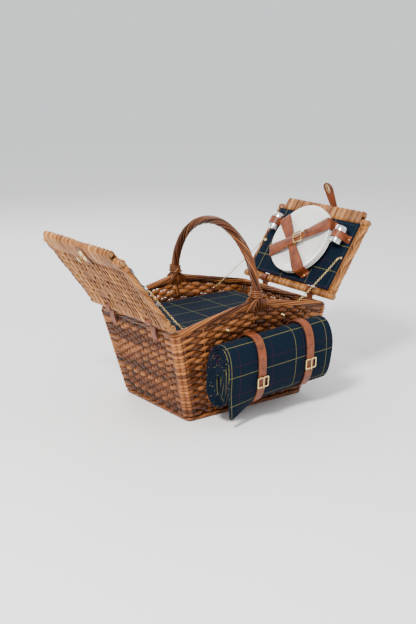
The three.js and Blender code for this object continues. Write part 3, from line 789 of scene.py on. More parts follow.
def add_borders():
    """The twisted ropes round the rim and the foot. The rim's has a core that closes its gaps, painted dark
    as the shade seen between the strands.
    """
    rim = Bundle(21)
    path = ring_path(RIM_RADIUS + 0.3 * MM, 15 * MM, rim_z, 6 * MM)
    rim.rope(path, UP, 7, 6.2 * MM, 2.65 * MM, 5, True, 8, (0.30, 0.85))
    # the core's dark colour is painted shade in the gaps between the strands
    rim.rod(path, 3.8 * MM, UP, 8, 0.2, True)
    rim.build("rim_border", "basket", BROWN_WILLOW, ["rim_front", "rim_back", "rim_left", "rim_right"])
    foot = Bundle(22)
    path = ring_path(6.4 * MM, 12 * MM, lambda x: FOOT_TOP / 2 + 0 * x, 5 * MM)
    foot.rope(path, UP, 5, 3.0 * MM, 2.7 * MM, 17, True, 8, (0.35, 0.68))
    foot.build("foot_rope", "basket", BROWN_WILLOW, ["foot_border"])


def add_base():
    """The floor of the basket: rods woven over a row of flat sticks."""
    low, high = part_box("base_panel")
    half_x, half_y = high.x - 1 * MM, high.y - 1 * MM
    middle = (low.z + high.z) / 2
    floor = Bundle(31)
    stick_ys = np.linspace(-half_y + 14 * MM, half_y - 14 * MM, 9)
    for y in stick_ys:
        line = np.array([(x, y, middle) for x in np.linspace(-half_x, half_x, 10)])
        floor.rod(line, BASE_STICK, UP, 8)
    ys = np.linspace(-half_y, half_y, 74)
    phase = np.pi * (ys - stick_ys[0]) / (stick_ys[1] - stick_ys[0])
    for i in range(int(2 * half_x / BASE_PITCH)):
        x = -half_x + BASE_PITCH * (i + 0.5)
        z = middle + (-1) ** i * BASE_STICK * np.cos(phase)
        floor.rod(np.stack([np.full(len(ys), x), ys, z], 1), (2.9 * MM, 1.9 * MM), UP, 7)
    floor.build("woven_base", "basket", BROWN_WILLOW, ["base_panel"])


# ---------------------------------------------------------------------------------------------
# The handle
# ---------------------------------------------------------------------------------------------
arch_low, arch_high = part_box("handle_arch")
HANDLE_RADIUS = arch_high.x
HANDLE_SPAN = arch_high.y - HANDLE_RADIUS
HANDLE_FOOT = arch_low.z
HANDLE_RISE = arch_high.z - HANDLE_RADIUS - HANDLE_FOOT
HANDLE_INSET = 8.5 * MM  # how far inside the wall's outer plane its ends run
COIL_TURNS, COIL_PITCH = 4.2, 5.2 * MM


def add_handle():
    """A rope of rods bent into an arch, wider where it meets the rim and thin where it enters the wall."""
    angle = np.linspace(0, np.pi, 96)
    arch = np.stack([0 * angle, -HANDLE_SPAN * np.cos(angle), HANDLE_FOOT + HANDLE_RISE * np.sin(angle)], 1)
    z = HANDLE_FOOT - np.array([12, 26, 42, 58, 70]) * MM
    feet = np.stack([0 * z, HANDLE_INSET - outer_y(z), z], 1)
    path = resample(np.concatenate([feet[::-1], arch, feet * (1, -1, 1)]), 6 * MM)
    height = path[:, 2]
    flare = ease(np.clip((HANDLE_FOOT + 34 * MM - height) / (60 * MM), 0, 1))
    buried = ease(np.clip((HANDLE_FOOT - 14 * MM - height) / (30 * MM), 0, 1))
    ring = (8.8 * MM + 2.6 * MM * flare) * (1 - 0.72 * buried)
    handle = Bundle(41)
    handle.rope(path, (1, 0, 0), 9, ring, 3.05 * MM, 3.4, False, 9, (0.22, 0.78))
    # a dark core under the strands: painted shade in the grooves between them
    handle.rod(path, 6.0 * MM, (1, 0, 0), 8, 0.1)
    handle.build("handle_rope", "basket", BROWN_WILLOW, ["handle_arch"])
    for name, side in (("front", -1), ("back", 1)):
        add_binding(name, side)


def add_binding(name, side):
    """A rod wound round the foot of the handle, and rods crossing over the rim into the wall."""
    wrap = Bundle(43 + side)
    low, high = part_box("handle_binding_" + name)
    t = np.linspace(0, 1, 90)
    angle = 2 * np.pi * COIL_TURNS * t
    z = high.z - 4 * MM - COIL_PITCH * COIL_TURNS * t
    swell = 14.2 * MM + 1.4 * MM * t
    centre_y = side * (HANDLE_SPAN - 0.06 * (HANDLE_FOOT - z))
    coil = np.stack([swell * np.cos(angle), centre_y + swell * np.sin(angle), z], 1)
    wrap.rod(coil, 2.5 * MM, UP, 8, 0.55)
    rim_y = side * (outer_y(RIM_PEAK) - RIM_RADIUS)
    clear = RIM_RADIUS + 2.4 * MM
    for k, lean, face in product(range(4), (-1, 1), (-1, 1)):
        foot_x = lean * (15 + 7 * k) * MM
        neck_x = -lean * (3 + 3 * k) * MM
        out = side * face
        points = [
            (neck_x, rim_y + out * 15.0 * MM, RIM_PEAK + (17 - 3.2 * k) * MM),
            (0.45 * foot_x, rim_y + out * clear * 1.12, RIM_PEAK - 2 * MM),
            (0.85 * foot_x, rim_y + out * clear * 0.9, RIM_PEAK - 22 * MM),
            (foot_x, rim_y + out * 5.0 * MM, low.z - 2 * MM),
        ]
        line = resample(soften(points, 14 * MM, 6), 4 * MM)
        wrap.rod(line, (2.2 * MM, 2.4 * MM), (0, out, 0.3), 7, wrap.random.uniform(0.35, 0.7))
    wrap.build(name + "_handle_wrap", "basket", BROWN_WILLOW, ["handle_binding_" + name])


# ---------------------------------------------------------------------------------------------
# The lids, each in its own frame: s from the hinge to the free edge, t sideways, n out of the top
# ---------------------------------------------------------------------------------------------
joints = {joint["name"]: joint for joint in frame["joints"]}
button_axis = Vector(joints["turn_button_turn"]["axis"])
slide_axis = Vector(joints["salt_shaker_slide"]["axis"])
LID_ALONG = {"left": Vector((button_axis.z, 0, -button_axis.x)), "right": -slide_axis}
LID_ACROSS = {"left": Vector((0, 1, 0)), "right": Vector((0, -1, 0))}


def lid_matrix(name):
    along, across = LID_ALONG[name], LID_ACROSS[name]
    return basis(along, across, along.cross(across), joints[name + "_lid_hinge"]["pos_m"])


def in_lid(name, node):
    """A CAD node's lowest and highest corners in its lid's own frame."""
    inverse = lid_matrix(name).inverted()
    points = np.array([inverse @ v.co for v in frame["nodes"][node].data.vertices])
    return points.min(0), points.max(0)


LID_TONGUE, LID_HALF = in_lid("left", "left_lid_panel")[1][:2]
LINING_FACE, LINING_BACK = (corner[2] for corner in in_lid("left", "left_lid_lining"))
LINING_CHECK = (0.031, 0.012, 0)  # where the lining's check starts
HEM, SEAM_INSET = 3 * MM, 8 * MM
GAP = 0.4 * MM  # between things that lie on each other
STICK = 6.0 * MM
WRAP = 1.9 * MM
CORNER_STICK_AT = LID_TONGUE - 33.5 * MM
TONGUE_STICK_AT = LID_TONGUE - STICK - 2 * WRAP - 0.4 * MM
TONGUE_HALF = 162 * MM
WOVEN_HALF = 177.5 * MM
LID_PITCH = 5.0 * MM
HINGE_LOOP_AT = 100 * MM
HINGE_LOOP_HALF = 12.5 * MM
LID_STICKS = np.linspace(25 * MM, CORNER_STICK_AT - 24 * MM, 9)
LID_WAVE = 4.7 * MM
GROUP_SQUEEZE = 0.45 * MM  # how much closer the rods of a group are
CLASP_AT, CLASP_CLEAR = -15 * MM, 34 * MM  # where the left lid's edge is kept low, for the clasp
END_COIL = (7.9 * MM, 7.9 * MM)


def arc(centre, radius, start, end):
    """Points (s, n) round a stick, between two angles in degrees."""
    angles = np.radians(np.linspace(start, end, 9))
    return [(centre + radius * math.cos(a), radius * math.sin(a)) for a in angles]


def lid_weaver(t, first, bulge):
    """A rod's line (s, n): round the hinge stick, over and under the sticks, and round the free edge."""
    notched = abs(abs(t) - HINGE_LOOP_AT) < HINGE_LOOP_HALF + 2.5 * MM
    reach = STICK + WRAP + bulge
    if notched:
        line = [(19 * MM, -4.6 * MM), (17.6 * MM, 0), (19 * MM, 4.6 * MM)]
    else:
        line = [(15 * MM, -6.3 * MM), *arc(0, STICK + WRAP, 290, 70)]
    swing = [-1 if (i + first) % 3 == 0 else 0.85 for i in range(len(LID_STICKS))]
    places = [line[-1][0], *LID_STICKS]
    heights = [line[-1][1], *(LID_WAVE * s for s in swing)]
    steps = 5
    for i in range(len(LID_STICKS)):
        for k in range(1, steps + 1):
            u = (1 - math.cos(math.pi * k / steps)) / 2
            s = places[i] + (places[i + 1] - places[i]) * k / steps
            line.append((s, heights[i] + (heights[i + 1] - heights[i]) * u))
    end = TONGUE_STICK_AT if abs(t) < TONGUE_HALF else CORNER_STICK_AT
    line += [(CORNER_STICK_AT - 10 * MM, 6.9 * MM), (CORNER_STICK_AT, reach)]
    line += arc(end, reach, 90, -90)
    line += [(CORNER_STICK_AT, -reach), (CORNER_STICK_AT - 10 * MM, -6.6 * MM)]
    return line


def add_lid(name, seed):
    add_lid_weave(name, seed)
    sticks = Bundle(seed + 1)
    for s in LID_STICKS:
        add_stick(sticks, s, WOVEN_HALF, 3.4 * MM, 8)
    add_stick(sticks, CORNER_STICK_AT, LID_HALF, STICK, 14, 0.42)
    add_stick(sticks, TONGUE_STICK_AT, TONGUE_HALF + 2 * MM, STICK, 14, 0.42)
    for side in (-1, 1):
        add_lid_border(sticks, side)
    sticks.build_on(name, name + "_lid_sticks", GOLDEN_WILLOW)
    hinge = Bundle(seed + 2)
    add_stick(hinge, 0, LID_HALF, STICK, 14, 0.4)
    for side in (-1, 1):
        wind(hinge, (0, side * 178 * MM, 0), (0, side, 0), END_COIL, 5, 3.7 * MM, 1.7 * MM)
    hinge.build_on(name, name + "_hinge_stick", GOLDEN_WILLOW, [name + "_lid_hinge_stick"])


def add_stick(rods, s, half, radius, sides, shade=None):
    """A straight stick across the lid."""
    rods.rod([(s, t, 0) for t in np.linspace(-half, half, 9)], radius, UP, sides, shade)


def add_lid_weave(name, seed):
    """The lid's rods in groups of three to five, the outer ones of a group lower and painted darker, as
    painted shade in the dips between groups.
    """
    panel = Bundle(seed)
    random = panel.random
    first, left_over = 0, 0
    for i in range(int(2 * WOVEN_HALF / LID_PITCH)):
        if left_over == 0:
            size = left_over = random.choice([3, 4, 5])
            tone = random.uniform(0.42, 0.86)
        place_in = (size + 1) / 2 - left_over
        left_over -= 1
        outer = (place_in / (size / 2)) ** 2
        t = -WOVEN_HALF + LID_PITCH * (i + 0.5) - GROUP_SQUEEZE * place_in
        first += random.choice([1, 1, 2])
        bulge = (0.75 - 2.1 * outer + random.uniform(-0.35, 0.25)) * MM
        if name == "left" and abs(t - CLASP_AT) < CLASP_CLEAR:
            bulge = -0.9 * MM + 0.2 * bulge
        plane = np.array(lid_weaver(t, first, bulge))
        jitter = random.uniform(-1.6, 1.6, 3) * MM
        drift = np.interp(plane[:, 0], [0, 120 * MM, 260 * MM], jitter)
        line = np.stack([plane[:, 0], t + drift, plane[:, 1]], 1)
        width = random.uniform(2.5, 2.95) * MM
        # a group's random tone, made darker towards its outer rods: painted shade in the dips between groups
        shade = tone - 0.35 * outer + random.uniform(-0.15, 0.15)
        panel.rod(line, (width, WRAP), surface_tops(line), 7, shade)
    panel.build_on(name, name + "_lid_weave", GOLDEN_WILLOW, [name + "_lid_panel"])


def surface_tops(line):
    """Directions square to a line that stays in one plane across t."""
    along = unit(np.gradient(line, axis=0))
    return np.cross(along, np.array([0.0, 1.0, 0.0]))


def add_lid_border(rods, side):
    """Two ropes down the side of the lid, wound together near both ends, and the rods that fill between,
    painted dark as the shade between the ropes.
    """
    edge = np.linspace(14 * MM, CORNER_STICK_AT, 12)
    selvedge = np.array([(s, side * 173 * MM, LINING_BACK + 1.0 * MM) for s in edge])
    rods.rod(selvedge, (5.5 * MM, 0.8 * MM), UP, 8, 0.35)
    for t, turns in ((176.8 * MM, 2.6), (188.4 * MM, -2.6)):
        run = np.linspace(8 * MM, CORNER_STICK_AT - 8 * MM, 52)
        path = np.array([(s, side * t, 0.6 * MM * math.sin(s * 90)) for s in run])
        rods.rope(path, UP, 5, 4.2 * MM, 2.8 * MM, turns * side, False, 7, (0.12, 0.7))
        # each rope's dark core: painted shade in the gaps between its strands
        rods.rod(path, 3.4 * MM, UP, 6, 0.1)
    core = np.array([(s, side * 181.5 * MM, 0) for s in np.linspace(12 * MM, CORNER_STICK_AT, 12)])
    # a flat core between the ropes and a filler on their inner side, both painted dark as shade in the gaps
    rods.rod(core, (8.5 * MM, 1.6 * MM), UP, 8, 0.05)
    rods.rod(core - (0, side * 9.6 * MM, 0), (5.0 * MM, 3.0 * MM), UP, 8, 0.2)
    for s in (16 * MM, CORNER_STICK_AT - 24 * MM):
        wind(rods, (s, side * 183.4 * MM, 0), (1, 0, 0), (12.0 * MM, 7.6 * MM), 3, 3.8 * MM, 1.8 * MM)
    wind(rods, (CORNER_STICK_AT, side * 176 * MM, 0), (0, side, 0), END_COIL, 4, 3.9 * MM, 1.8 * MM)


def wind(rods, centre, axis, radii, turns, pitch, radius):
    """A rod wound round an axis in the lid's plane, as an ellipse whose second radius is along n."""
    axis = np.asarray(axis, float)
    across = np.cross((0.0, 0.0, 1.0), axis)
    t = np.linspace(0, 1, 16 * turns)
    angle = 2 * np.pi * turns * t
    line = (
        np.asarray(centre, float)
        + np.outer(pitch * turns * t, axis)
        + np.outer(radii[0] * np.cos(angle), across)
        + np.outer(radii[1] * np.sin(angle), (0, 0, 1))
    )
    rods.rod(line, radius, axis, 7, rods.random.uniform(0.45, 0.75))


# ---------------------------------------------------------------------------------------------
# Pieces that keep the CAD part's form, with eased corners
# ---------------------------------------------------------------------------------------------
FLAT_ENOUGH = math.radians(0.6)
STITCH_PITCH = 4.2 * MM
STRAP_THICK = 1.25 * MM
ASKEW = (0.37, 0.41, 0.83)  # a direction that no row of stitches has


def dress(node, body, finish, bevel, across=None):
    """The CAD node's form with its sharp corners rounded. Faces square to across are burnished edges."""
    slot, material = finish
    shape = bmesh.new()
    shape.from_mesh(frame["nodes"][node].data)
    shape.transform(frame["nodes"][node].matrix_world)
    bmesh.ops.remove_doubles(shape, verts=shape.verts, dist=2e-6)
    bmesh.ops.dissolve_limit(shape, angle_limit=FLAT_ENOUGH, verts=shape.verts, edges=shape.edges)
    sharp = [e for e in shape.edges if len(e.link_faces) == 2 and e.calc_face_angle(0) > 0.5]
    bmesh.ops.bevel(
        shape, geom=sharp, offset=bevel, segments=3, profile=0.5, affect="EDGES", clamp_overlap=True
    )
    shape.normal_update()
    mesh = bpy.data.meshes.new(node + "_made")
    shape.to_mesh(mesh)
    shape.free()
    mesh.materials.append(material)
    for polygon in mesh.polygons:
        polygon.use_smooth = True
    points = np.array([v.co for v in mesh.vertices])
    edge = np.zeros(len(points))
    if across is not None:
        edge = np.abs(np.array([v.normal for v in mesh.vertices]) @ np.array(across)) > 0.45
    random = np.random.RandomState(len(node) + len(points))
    put(mesh, "grain", points + random.uniform(0, 20, 3))
    put(mesh, "shade", np.full(len(points), 0.5))
    put(mesh, "edge", edge.astype(float))
    piece = place(mesh, node + "_made", body, slot, [node])
    piece.modifiers.new("flat faces stay flat", "WEIGHTED_NORMAL").weight = 90


def stitches(bundle, line, outward, across, offset, pitch=STITCH_PITCH):
    """A row of stitches on a strap's outer face, offset across it from its middle line."""
    line = resample(line, pitch)
    outward = np.broadcast_to(outward, line.shape)
    shift = np.asarray(across, float) * offset
    for a, b, out in zip(line, line[1:], outward):
        up = out * 0.10 * MM
        start = a + 0.14 * (b - a) + shift + up
        end = a + 0.86 * (b - a) + shift + up
        middle = (start + end) / 2 + up * 2
        bundle.sweep([start, middle, end], ASKEW, circle(5), 0.42 * MM)


def rivet(bundle, at, out, radius=3.4 * MM, height=1.7 * MM):
    """A domed rivet whose head faces out."""
    bundle.lathe(dome(radius, height), facing(out, at), 20)


def punch(bundle, radius, height, count, matrix, paint=0):
    """A dark disc that reads as a hole punched through: the hole's painted shadow."""
    bundle.slab(ellipse(radius, radius, count), -0.3 * MM, height, matrix, 0.02 * MM, None, paint)


def cloth_mesh(name, points, faces, cloth):
    """A smooth tweed mesh whose check follows the cloth values."""
    mesh = bpy.data.meshes.new(name)
    mesh.from_pydata(points.tolist(), [], faces)
    mesh.polygons.foreach_set("use_smooth", [True] * len(faces))
    put(mesh, "cloth", cloth)
    put(mesh, "grain", points)
    mesh.materials.append(TWEED)
    return mesh


def grid_slab(name, us, vs, face, back):
    """A closed sheet over a grid: face and back give its two heights."""
    u, v = np.meshgrid(us, vs, indexing="ij")
    top = np.stack([u, v, face(u, v)], -1).reshape(-1, 3)
    bottom = np.stack([u, v, back(u, v)], -1).reshape(-1, 3)
    n, m = u.shape
    index = np.arange(n * m).reshape(n, m)
    quads = np.stack([index[:-1, :-1], index[1:, :-1], index[1:, 1:], index[:-1, 1:]], -1).reshape(-1, 4)
    faces = quads.tolist() + (quads[:, ::-1] + n * m).tolist()
    rim = np.concatenate([index[:, 0], index[-1, 1:], index[-2::-1, -1], index[0, -2:0:-1]])
    for a, b in zip(rim, np.roll(rim, -1)):
        faces.append([int(a), int(a) + n * m, int(b) + n * m, int(b)])
    points = np.concatenate([top, bottom])
    mesh = cloth_mesh(name, points, faces, points[:, [1, 0, 2]] + LINING_CHECK)
    mesh.flip_normals()
    return mesh


def edge_distance(u, v, low, high):
    inside_u = np.minimum(u - low[0], high[0] - u)
    inside_v = np.minimum(v - low[1], high[1] - v)
    return np.maximum(np.minimum(inside_u, inside_v), 0)


def spaced(low, high, step, ease_in):
    """Places from low to high, closer together at both ends."""
    ends = np.array([0, 0.12, 0.3, 0.6, 1.0]) * ease_in
    middle = np.linspace(low + ease_in, high - ease_in, int((high - low) / step))
    return np.concatenate([low + ends[:-1], middle, high - ends[:-1][::-1]])


def add_lining(name):
    """The tweed lining of a lid, its edge turned under and stitched down."""
    low, high = in_lid(name, name + "_lid_lining")
    face_n, back_n = low[2], high[2]

    def face(u, v):
        d = edge_distance(u, v, low, high)
        tuck = 1.7 * MM * (1 - np.clip(d / HEM, 0, 1)) ** 2
        seam = 0.45 * MM * np.exp(-(((d - SEAM_INSET) / (1.6 * MM)) ** 2))
        ripple = 0.22 * MM * (1 + np.sin(31 * u + 3 * np.sin(19 * v)) * np.sin(27 * v + 2 * np.sin(23 * u)))
        return face_n + tuck + seam + ripple * np.clip(d / (20 * MM), 0, 1)

    def back(u, v):
        d = edge_distance(u, v, low, high)
        return back_n - 1.2 * MM * (1 - np.clip(d / HEM, 0, 1)) ** 2

    us, vs = (spaced(low[k], high[k], 6 * MM, 4 * MM) for k in range(2))
    mesh = grid_slab(name + "_lining", us, vs, face, back)
    mesh.transform(lid_matrix(name))
    lining = place(mesh, name + "_lining", name + "_lid", "navy_tweed", [name + "_lid_lining"])
    seam = Bundle(71)
    (s0, t0), (s1, t1) = low[:2] + SEAM_INSET, high[:2] - SEAM_INSET
    corners = [(s0, t0), (s1, t0), (s1, t1), (s0, t1)]
    for a, b in zip(corners, corners[1:] + corners[:1]):
        line = np.array([(*a, face_n + 0.35 * MM), (*b, face_n + 0.35 * MM)])
        stitches(seam, line, DOWN, UP, 0, 5.5 * MM)
    thread = seam.build_on(name, name + "_lining_stitching", NAVY_STITCHING)


# ---------------------------------------------------------------------------------------------
# The plates and what holds them
# ---------------------------------------------------------------------------------------------
PLATE_AT = (133 * MM, 3 * MM)
PLATE_PITCH = 4.6 * MM
PLATES = 4
PLATE_PROFILE = [  # radius and height of the foot, the underside, the rim, the well and its faint ring
    (0, 1.0), (56, 1.0), (60, 0.9), (61, 0.05), (63.6, 0.05), (64.6, 0.9), (70, 1.5), (80, 3.6), (92, 7.0),
    (103, 10.8), (107.2, 12.9), (108, 13.8), (107.6, 14.7), (106.4, 15.1), (104.6, 14.9), (99, 13.0),
    (92.5, 11.0), (91.6, 11.05), (90.6, 10.35), (84, 8.3), (77, 6.5), (72, 5.5), (67, 4.75), (62, 4.35),
    (54, 4.2), (0, 4.2),
]
PLATE_RADIUS, PLATE_HEIGHT = 0.108, 15.2 * MM


def lid_inner_basis(name, s, t, n):
    """A frame on the inside of a lid: X along s, Z towards the inside."""
    flip = Matrix(((1, 0, 0, s), (0, -1, 0, t), (0, 0, -1, n), (0, 0, 0, 1)))
    return lid_matrix(name) @ flip


PLATE_STRAPS = [  # direction in the lid, distance from the plates' middle, height above the top plate, trim
    ("plate_strap_long", 55.3, 0.0, 2.9 * MM, 0.0),
    ("plate_strap_cross", 133.3, 30 * MM, 0.0, 3.0 * MM),
]


def add_plate_strap(node, middle, along, across, half, face, trim):
    """A strap over the plates that widens from where the two cross to the plates' rims.

    The end near the hinge is trimmed on one side, to clear the basket's rim under the closed lid."""
    foot = LINING_FACE - GAP - 1.3 * MM
    clear = half + 2.0 * MM
    route = [(-clear - 9.5 * MM, foot), (-clear, foot), (-clear, face + 1.3 * MM)]
    route += [(clear, face + 1.3 * MM), (clear, foot), (clear + 9.5 * MM, foot)]
    points = [(*(middle + along * x), n) for x, n in route]
    line = resample(soften(points, 5 * MM, 6), 3.2 * MM)
    reach = (line[:, :2] - middle) @ along
    trimmed = trim * ease(np.clip((reach - 0.085) / 0.02, 0, 1))
    places = [0.016, 0.09, half, clear + 0.011]
    wide = np.interp(np.abs(reach), places, [13.4 * MM, 20 * MM, 21 * MM, 13 * MM])
    tops = np.cross(unit(np.gradient(line, axis=0)), (*across, 0.0))
    line[:, :2] -= np.outer(trimmed, across)
    strap = Bundle(89)
    scale = np.stack([wide - trimmed, np.full(len(wide), STRAP_THICK)], 1)
    strap.sweep(line, tops, STRAP_SECTION, scale)
    strap.build_on("right", node + "_made", LEATHER, [node])


def add_plates():
    for k in range(PLATES):
        plate = Bundle(80 + k)
        profile = [(r * MM, h * MM) for r, h in PLATE_PROFILE]
        at = lid_inner_basis("right", *PLATE_AT, LINING_FACE - GAP - k * PLATE_PITCH)
        plate.lathe(profile, at, 128)
        plate.build(f"plate_{k + 1}_made", "right_lid", ("china", CHINA), [f"plate_{k + 1}"])
    top = LINING_FACE - GAP - (PLATES - 1) * PLATE_PITCH - PLATE_HEIGHT
    sewing, brass, dark = Bundle(85), Bundle(86), Bundle(87)
    for node, angle, offset, lift, trim in PLATE_STRAPS:
        turn = math.radians(angle)
        along = np.array((math.cos(turn), math.sin(turn)))
        across = np.array((-math.sin(turn), math.cos(turn)))
        middle = np.array(PLATE_AT) + across * offset
        face = top - GAP - lift - 2.5 * MM
        half = math.sqrt(PLATE_RADIUS ** 2 - max(0, offset - 13.5 * MM) ** 2)
        add_plate_strap(node, middle, along, across, half, face, trim)
        line = np.array([(*(middle + along * x), face) for x in (-half, half)])
        for edge in (-10.6 * MM, 10.6 * MM):
            stitches(sewing, line, DOWN, (*across, 0), edge)
        for x in (-1, 1):
            at = middle + along * x * (half + 6 * MM)
            rivet(brass, (*at, LINING_FACE - GAP - 2.5 * MM), DOWN)
        if node == "plate_strap_long":
            for x in (24, 36, 48, 60, -46):
                disc = basis((1, 0, 0), (0, -1, 0), DOWN, (*(middle + along * x * MM), face))
                punch(dark, 1.7 * MM, 0.12 * MM, 14, disc)
            add_keeper(middle + along * 26 * MM, along, across, face)
    sewing.build_on("right", "plate_strap_stitching", STITCHING)
    brass.build_on("right", "plate_strap_rivets", BRASS_WORK)
    dark.build_on("right", "plate_strap_holes", PUNCHED_SHADOW)
    dress("plate_buckle", "right_lid", BRASS_WORK, 0.8 * MM)
    dress("plate_prong", "plate_strap_prong", BRASS_WORK, 0.35 * MM)


def add_keeper(at, along, across, face):
    """The small loop that holds down the end of the plates' strap."""
    keeper = Bundle(88)
    turn = basis((*along, 0), (*across, 0), Vector((*along, 0)).cross((*across, 0)), (*at, face))
    outline = rounded_rectangle(4.5 * MM, 15.2 * MM, 1.2 * MM, 3)
    keeper.slab(outline, -2.1 * MM, -0.1 * MM, turn, 0.5 * MM)
    keeper.build_on("right", "plate_strap_keeper", LEATHER)


SHAKER_HEIGHT = 0.056
SHAKER_PROFILE = [
    (0, 0), (16.4, 0), (17.8, 0.6), (18.7, 2.2), (18.9, 4), (18.3, 5.4), (18.2, 7), (18.2, 33), (18.3, 34.6),
    (17.4, 35.2), (17.4, 36.6), (18.8, 37.2), (19.0, 38.6), (19.0, 49.5), (18.6, 51.4), (17.2, 53.4),
    (13.5, 55.0), (8, 55.8), (0, 56),
]


def add_shakers():
    brass = Bundle(93)
    for name, holes in (("salt", 5), ("pepper", 3)):
        low, high = in_lid("right", name + "_shaker")
        centre = ((low[1] + high[1]) / 2, (low[2] + high[2]) / 2)
        turn = basis((0, 1, 0), (0, 0, 1), (1, 0, 0), (low[0], *centre))
        pot = Bundle(91)
        scale = (high[0] - low[0]) / SHAKER_HEIGHT
        pot.lathe([(r * MM, h * MM * scale) for r, h in SHAKER_PROFILE], turn, 48)
        for i in range(holes):
            angle = 2 * math.pi * i / holes
            at = Vector((6.5 * MM * math.cos(angle), 6.5 * MM * math.sin(angle), 55.82 * MM))
            punch(pot, 0.9 * MM, 0.14 * MM, 12, turn @ Matrix.Translation(at), 1)
        finish = ("steel", STEEL, HOLE_SHADOW)
        pot.build(name + "_pot", name + "_shaker", finish, [name + "_shaker"], lid_matrix("right"))
        lengthwise = lid_matrix("right").to_3x3() @ Vector((1, 0, 0))
        dress(name + "_loop", "right_lid", LEATHER, 0.5 * MM, lengthwise)
        loop_low, loop_high = in_lid("right", name + "_loop")
        tab = loop_high[1] - 5.6 * MM if centre[0] > 0 else loop_low[1] + 5.6 * MM
        at = ((loop_low[0] + loop_high[0]) / 2, tab, loop_high[2] - 2.4 * MM)
        rivet(brass, at, DOWN, 3.0 * MM)
    brass.build_on("right", "shaker_loop_rivets", BRASS_WORK)


# ---------------------------------------------------------------------------------------------
# The cutlery, the lock and the clasp
# ---------------------------------------------------------------------------------------------
BOWL = np.array([
    (1.0, 0.0), (0.8, -0.36), (0.5, -0.75), (0.0, -1.0), (-0.5, -0.75), (-0.8, -0.36), (-1.0, 0.0),
    (-0.8, -0.12), (-0.5, -0.5), (0.0, -0.74), (0.5, -0.5), (0.8, -0.12),
])
LENS = np.array([
    (1.0, 0.0), (0.75, 0.75), (0.3, 1.0), (-0.3, 1.0), (-0.75, 0.75), (-1.0, 0.0),
    (-0.75, -0.75), (-0.3, -1.0), (0.3, -1.0), (0.75, -0.75),
])
# Places along a piece of cutlery from its middle, and its half widths there, in millimetres
HANDLE_WIDTHS = [(-100, 5.0), (-97, 7.8), (-90, 8.8), (-70, 7.4), (-30, 4.4), (0, 3.3), (20, 3.0)]
SPOON_WIDTHS = HANDLE_WIDTHS + [
    (34, 3.6), (42, 8.0), (52, 12.2), (66, 14.6), (80, 13.8), (92, 10.0), (98, 5.0), (100, 1.5),
]
FORK_WIDTHS = HANDLE_WIDTHS + [(36, 3.6), (44, 8.0), (52, 10.8), (58, 11.6)]
KNIFE_WIDTHS = [
    (-100, 5.6), (-97, 7.6), (-88, 8.6), (-50, 7.6), (-6, 5.6), (2, 4.6), (6, 8.0), (20, 9.2), (70, 8.9),
    (88, 7.2), (97, 4.0), (100, 1.2),
]


def along_piece(widths, step=4.0):
    """Stations and half widths along a piece of cutlery, in metres."""
    stations = np.arange(widths[0][0], widths[-1][0] + 0.1, step)
    stations = np.unique(np.concatenate([stations, [w[0] for w in widths]]))
    half = np.interp(stations, [w[0] for w in widths], [w[1] for w in widths])
    return stations * MM, half * MM


def add_cutlery():
    kinds = {"fork": FORK_WIDTHS, "knife": KNIFE_WIDTHS, "spoon": SPOON_WIDTHS}
    for k, (kind, widths) in enumerate(kinds.items()):
        low, high = in_lid("left", kind + "_stack")
        centre = ((low[0] + high[0]) / 2, (low[1] + high[1]) / 2)
        stack = Bundle(100 + k)
        for layer in range(4):
            add_one_of(kind, widths, stack, centre, high[2] - (1.6 + 3.1 * layer) * MM)
        stack.build_on("left", kind + "s", ("steel", STEEL), [kind + "_stack"])
    add_cutlery_band()


def add_one_of(kind, widths, stack, centre, depth):
    """One fork, knife or spoon, at a depth in its stack."""
    stations, half = along_piece(widths)
    s, t = 0 * stations + centre[0], centre[1] + stations
    if kind == "knife":
        thick = np.interp(stations, [-0.1, -0.02, 0.0, 0.01, 0.1], [2.6, 2.4, 1.8, 0.8, 0.5])
        line = np.stack([s, t, 0 * stations + depth], 1)
        stack.sweep(line, UP, LENS, np.stack([half, thick * 0.55 * MM], 1))
        return
    dip = np.interp(stations, [-0.1, -0.05, 0.02, 0.04, 0.07, 0.1], [2.2, 1.6, 1.2, 2.0, 3.4, 1.2]) * MM
    rise = np.interp(stations, [-0.1, -0.02, 0.03, 0.07, 0.1], [0.0, 0.3, 1.4, 0.6, -0.6]) * MM
    line = np.stack([s, t, depth - 0.5 * MM - rise], 1)
    stack.sweep(line, DOWN, BOWL, np.stack([half, dip], 1))
    if kind == "fork":
        add_tines(stack, *centre, depth)


def add_cutlery_band():
    dress("cutlery_band", "left_lid", LEATHER, 0.5 * MM, (0, 1, 0))
    low, high = in_lid("left", "cutlery_band")
    band, rivets = Bundle(105), Bundle(106)
    middle = (low[1] + high[1]) / 2
    for offset in (-9 * MM, 9 * MM):
        line = np.array([(low[0] + 14 * MM, middle, low[2]), (high[0] - 14 * MM, middle, low[2])])
        stitches(band, line, DOWN, (0, 1, 0), offset)
    for s in (low[0] + 5 * MM, high[0] - 5 * MM):
        rivet(rivets, (s, middle, high[2] - 2.6 * MM), DOWN)
    band.build_on("left", "cutlery_band_stitching", STITCHING)
    rivets.build_on("left", "cutlery_band_rivets", BRASS_WORK)


def add_tines(stack, centre_s, centre_t, depth):
    t = np.linspace(54, 100, 9) * MM
    thick = np.interp(t, [0.054, 0.1], [1.0, 0.5])
    scale = np.stack([np.interp(t, [0.054, 0.09, 0.1], [1.9, 1.35, 0.5]), thick], 1)
    n = depth - 0.5 * MM - np.interp(t, [0.054, 0.08, 0.1], [-1.2, -0.4, 1.4]) * MM
    for i in range(4):
        root = (i - 1.5) * 5.6 * MM
        s = centre_s + root * np.interp(t, [0.054, 0.062, 0.1], [0.8, 1.0, 0.93])
        stack.sweep(np.stack([s, centre_t + t, n], 1), UP, LENS, scale * MM)


